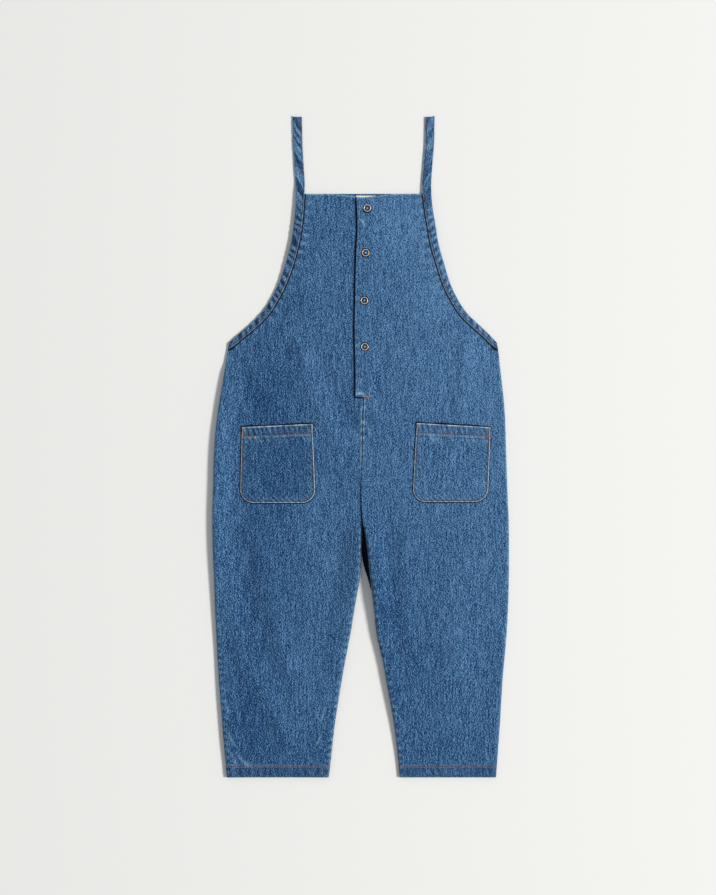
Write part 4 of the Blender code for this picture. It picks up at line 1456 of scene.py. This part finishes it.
def ring_material():
    """Copper-coloured plating, slightly uneven in colour and gloss."""
    material, nodes, shader = new_material("copper ring", Metallic=0.55)
    place = nodes.add("ShaderNodeTexCoord").outputs["Object"]
    uneven = nodes.noise(nodes.stretched(place, 500.0, 500.0), 3.0, 0.6)
    dull, bright = (0.70, 0.42, 0.18, 1.0), (0.98, 0.83, 0.58, 1.0)
    colour = nodes.blend(nodes.remap(uneven, 0.3, 0.7), dull, bright)
    nodes.feed(shader.inputs["Base Color"], colour)
    nodes.feed(shader.inputs["Roughness"], nodes.remap(uneven, 0.3, 0.7, 0.42, 0.26))
    return material


def label_material():
    """Woven cotton tape, cream, with its fine ribs."""
    material, nodes, shader = new_material("cream tape", Roughness=0.8)
    place = nodes.add("ShaderNodeTexCoord").outputs["Object"]
    wave = {"Vector": place, "Scale": 420.0, "Distortion": 0.6}
    ribs = nodes.add("ShaderNodeTexWave", {"bands_direction": "Y"}, **wave).outputs["Fac"]
    colour = nodes.blend(ribs, (0.84, 0.80, 0.70, 1.0), (0.96, 0.94, 0.87, 1.0))
    nodes.feed(shader.inputs["Base Color"], colour)
    nodes.bump(shader, ribs, 0.4, 0.0002)
    return material


def turned_mesh(name, profile, count, centre, material):
    """A shape turned about Z from a closed line of (radius, height) points."""
    angles = np.linspace(0.0, 2 * math.pi, count + 1)[:-1]
    build = bmesh.new()
    loops = []
    for angle in angles:
        x, y = math.cos(angle), math.sin(angle)
        loops.append([build.verts.new((r * x * MM, r * y * MM, z * MM)) for r, z in profile])
    for i in range(count):
        low, high = loops[i], loops[(i + 1) % count]
        for j in range(len(profile)):
            after = (j + 1) % len(profile)
            build.faces.new((low[j], high[j], high[after], low[after]))
    bmesh.ops.remove_doubles(build, verts=build.verts, dist=0.00002)
    bmesh.ops.recalc_face_normals(build, faces=build.faces)
    mesh = built_mesh(build, name)
    mesh.transform(Matrix.Translation(Vector(centre) * MM))
    return placed(name, mesh, material)


def snap(number, x, y, copper, denim):
    """An open ring of the snap, and the cloth that its prongs push up inside it."""
    high = float(front_surface("left", np.array([x]), np.array([y]))[0][0])
    angles = np.linspace(0.0, 2 * math.pi, 19)[:-1]
    ring = [(RING_WIDE * math.cos(a), RING_WIDE * math.sin(a)) for a in angles]
    ring = [(RING_RADIUS + across, RING_HIGH + up) for across, up in ring]
    obj = turned_mesh(f"ring_{number}", ring, 72, (x, y, high), copper)
    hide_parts(f"snap_{number}")
    inside = RING_RADIUS - RING_WIDE * 0.4
    dome = RING_DOME + ((inside, 0.05), (inside, -0.2), (0.0, -0.2))
    cloth = turned_mesh(f"ring_cloth_{number}", dome, 48, (x, y, high), denim)
    spots = np.array([vert.co for vert in cloth.data.vertices]) / MM
    radius = np.hypot(spots[:, 0] - x, spots[:, 1] - y)
    # the cloth's pale top is painted highlight together with rubbing, and painted shade darkens it
    # towards the ring
    worn = 1.3 * (1.0 - smooth_step(0.6, 1.5, radius))
    deep = smooth_step(1.2, 2.2, radius)
    dress(cloth.data, spots[:, :2], worn, deep, SNAP_TONE)


def neck_label(material):
    """The bare label inside the back's neck edge."""
    low, high = (Vector(corner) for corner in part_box("label"))
    build = bmesh.new()
    bmesh.ops.create_grid(build, x_segments=40, y_segments=16, size=0.5)
    size = high - low
    for vert in build.verts:
        across, up = vert.co.x, vert.co.y
        wave = 0.1 * math.sin(across * 19.0) + 0.12 * math.sin(up * 7.0 + across * 5.0)
        x, y = low.x + size.x * (across + 0.5), low.y + size.y * (up + 0.5)
        vert.co = Vector((x, y, high.z + (wave - 0.2) * MM))
    obj = placed("neck_label", built_mesh(build, "neck_label"), material)
    wall = obj.modifiers.new("wall", "SOLIDIFY")
    wall.thickness = 0.4 * MM
    wall.offset = -1.0
    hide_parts("label")


def sew(pockets, bindings, brown, rust, orange):
    """All the topstitching and bartacks."""
    for binding in bindings:
        run_of_stitches(f"stitch_armhole_{binding.side}", binding.stitch_points(), brown, 5)
    for pocket in pockets:
        side = pocket.side
        run_of_stitches(f"stitch_pocket_{side}", pocket.path(*pocket.stitch_path()), brown, 7)
        across = np.linspace(0.01, 0.99, 60)
        path = pocket.path(across, 0 * across + pocket.height - POCKET_HEM)
        run_of_stitches(f"stitch_mouth_{side}", path, rust, 8)
        levels = np.linspace(pocket.height - 0.4, pocket.height - POCKET_HEM, 12)
        for end, share in (("a", 0.014), ("b", 0.986)):
            path = pocket.path(0 * levels + share, levels)
            satin_bar(f"bartack_{side}_{end}", path, 1.0, orange, 9)
    for side in SIDES:
        level = HEM_Y + HEM_DEEP
        inner = float(front_inner_edge(side, level + 0.5))
        outer = float(outer_edge(side, level + 0.5))
        inset = math.copysign(1.2, outer - inner)
        x = np.linspace(inner + inset, outer - inset, 90)
        run_of_stitches(f"stitch_hem_{side}", front_path(side, x, 0 * x + level), rust, 12)
    # the placket's bartack changes its colour on the way
    x = np.linspace(PLACKET_BAR[0][0], PLACKET_BAR[0][-1], 24)
    path = front_path("left", x, np.interp(x, *PLACKET_BAR))
    satin_bar("bartack_placket_a", path[:11], 1.2, brown, 14)
    satin_bar("bartack_placket_b", path[10:], 1.2, orange, 15)


def window():
    """A square of light, turned towards the garment's middle."""
    light = bpy.data.lights.new("window", "AREA")
    light.shape = "RECTANGLE"
    light.size = light.size_y = WINDOW_SIDE
    light.energy = WINDOW_WATTS
    light.color = WINDOW_COLOUR
    obj = bpy.data.objects.new("window", light)
    bpy.context.scene.collection.objects.link(obj)
    obj.location = WINDOW_PLACE
    obj.rotation_euler = (-Vector(WINDOW_PLACE)).to_track_quat("-Z", "Y").to_euler()
    obj.visible_camera = False


def studio():
    """A pale floor, a window at the viewer's right and an even, dimmer sky."""
    scene = bpy.context.scene
    scene.view_settings.view_transform = "Standard"
    world = bpy.data.worlds.new("studio sky")
    scene.world = world
    world.use_nodes = True
    sky = world.node_tree.nodes["Background"]
    sky.inputs["Color"].default_value = SKY_COLOUR
    sky.inputs["Strength"].default_value = SKY_STRENGTH
    build = bmesh.new()
    bmesh.ops.create_grid(build, x_segments=8, y_segments=8, size=3.0)
    mesh = built_mesh(build, "floor")
    paper = {"Base_Color": (0.86, 0.86, 0.84, 1.0), "Roughness": 0.9, "Specular_IOR_Level": 0.1}
    mesh.materials.append(new_material("pale paper", **paper)[0])
    floor = bpy.data.objects.new("floor", mesh)
    floor.location = (0.0, 0.0, -0.0002)
    scene.collection.objects.link(floor)
    window()


def camera():
    """Straight above, framed as in the photograph."""
    scene = bpy.context.scene
    pixel, high = PIXEL * MM, CAMERA_HIGH * MM
    view = bpy.data.cameras.new("camera")
    view.sensor_width = SENSOR_WIDE
    view.lens = SENSOR_WIDE * high / (IMAGE_HIGH * pixel)
    obj = bpy.data.objects.new("camera", view)
    obj.location = ((IMAGE_WIDE / 2 - MIDDLE_X) * pixel, (MIDDLE_Y - IMAGE_HIGH / 2) * pixel, high)
    scene.collection.objects.link(obj)
    scene.camera = obj


def main():
    denim = denim_material("washed denim", washed_denim_group())
    for side in SIDES:
        panel(f"front_{side}", side, True, denim)
        panel(f"back_{side}", side, False, denim)
    pockets = list(POCKET_OF.values())
    bindings = [Binding(side) for side in SIDES]
    for piece in pockets + bindings:
        piece.make(denim)
    brown = thread_material("brown thread", (0.05, 0.015, 0.008, 1.0), (0.22, 0.070, 0.032, 1.0))
    rust = thread_material("rust thread", (0.26, 0.080, 0.014, 1.0), (0.66, 0.27, 0.060, 1.0))
    orange = thread_material("orange thread", (0.36, 0.10, 0.006, 1.0), (0.86, 0.36, 0.04, 1.0))
    sew(pockets, bindings, brown, rust, orange)
    copper = ring_material()
    for number, (x, y) in enumerate(SNAPS, 1):
        snap(number, x, y, copper, denim)
    neck_label(label_material())
    studio()
    camera()


main()
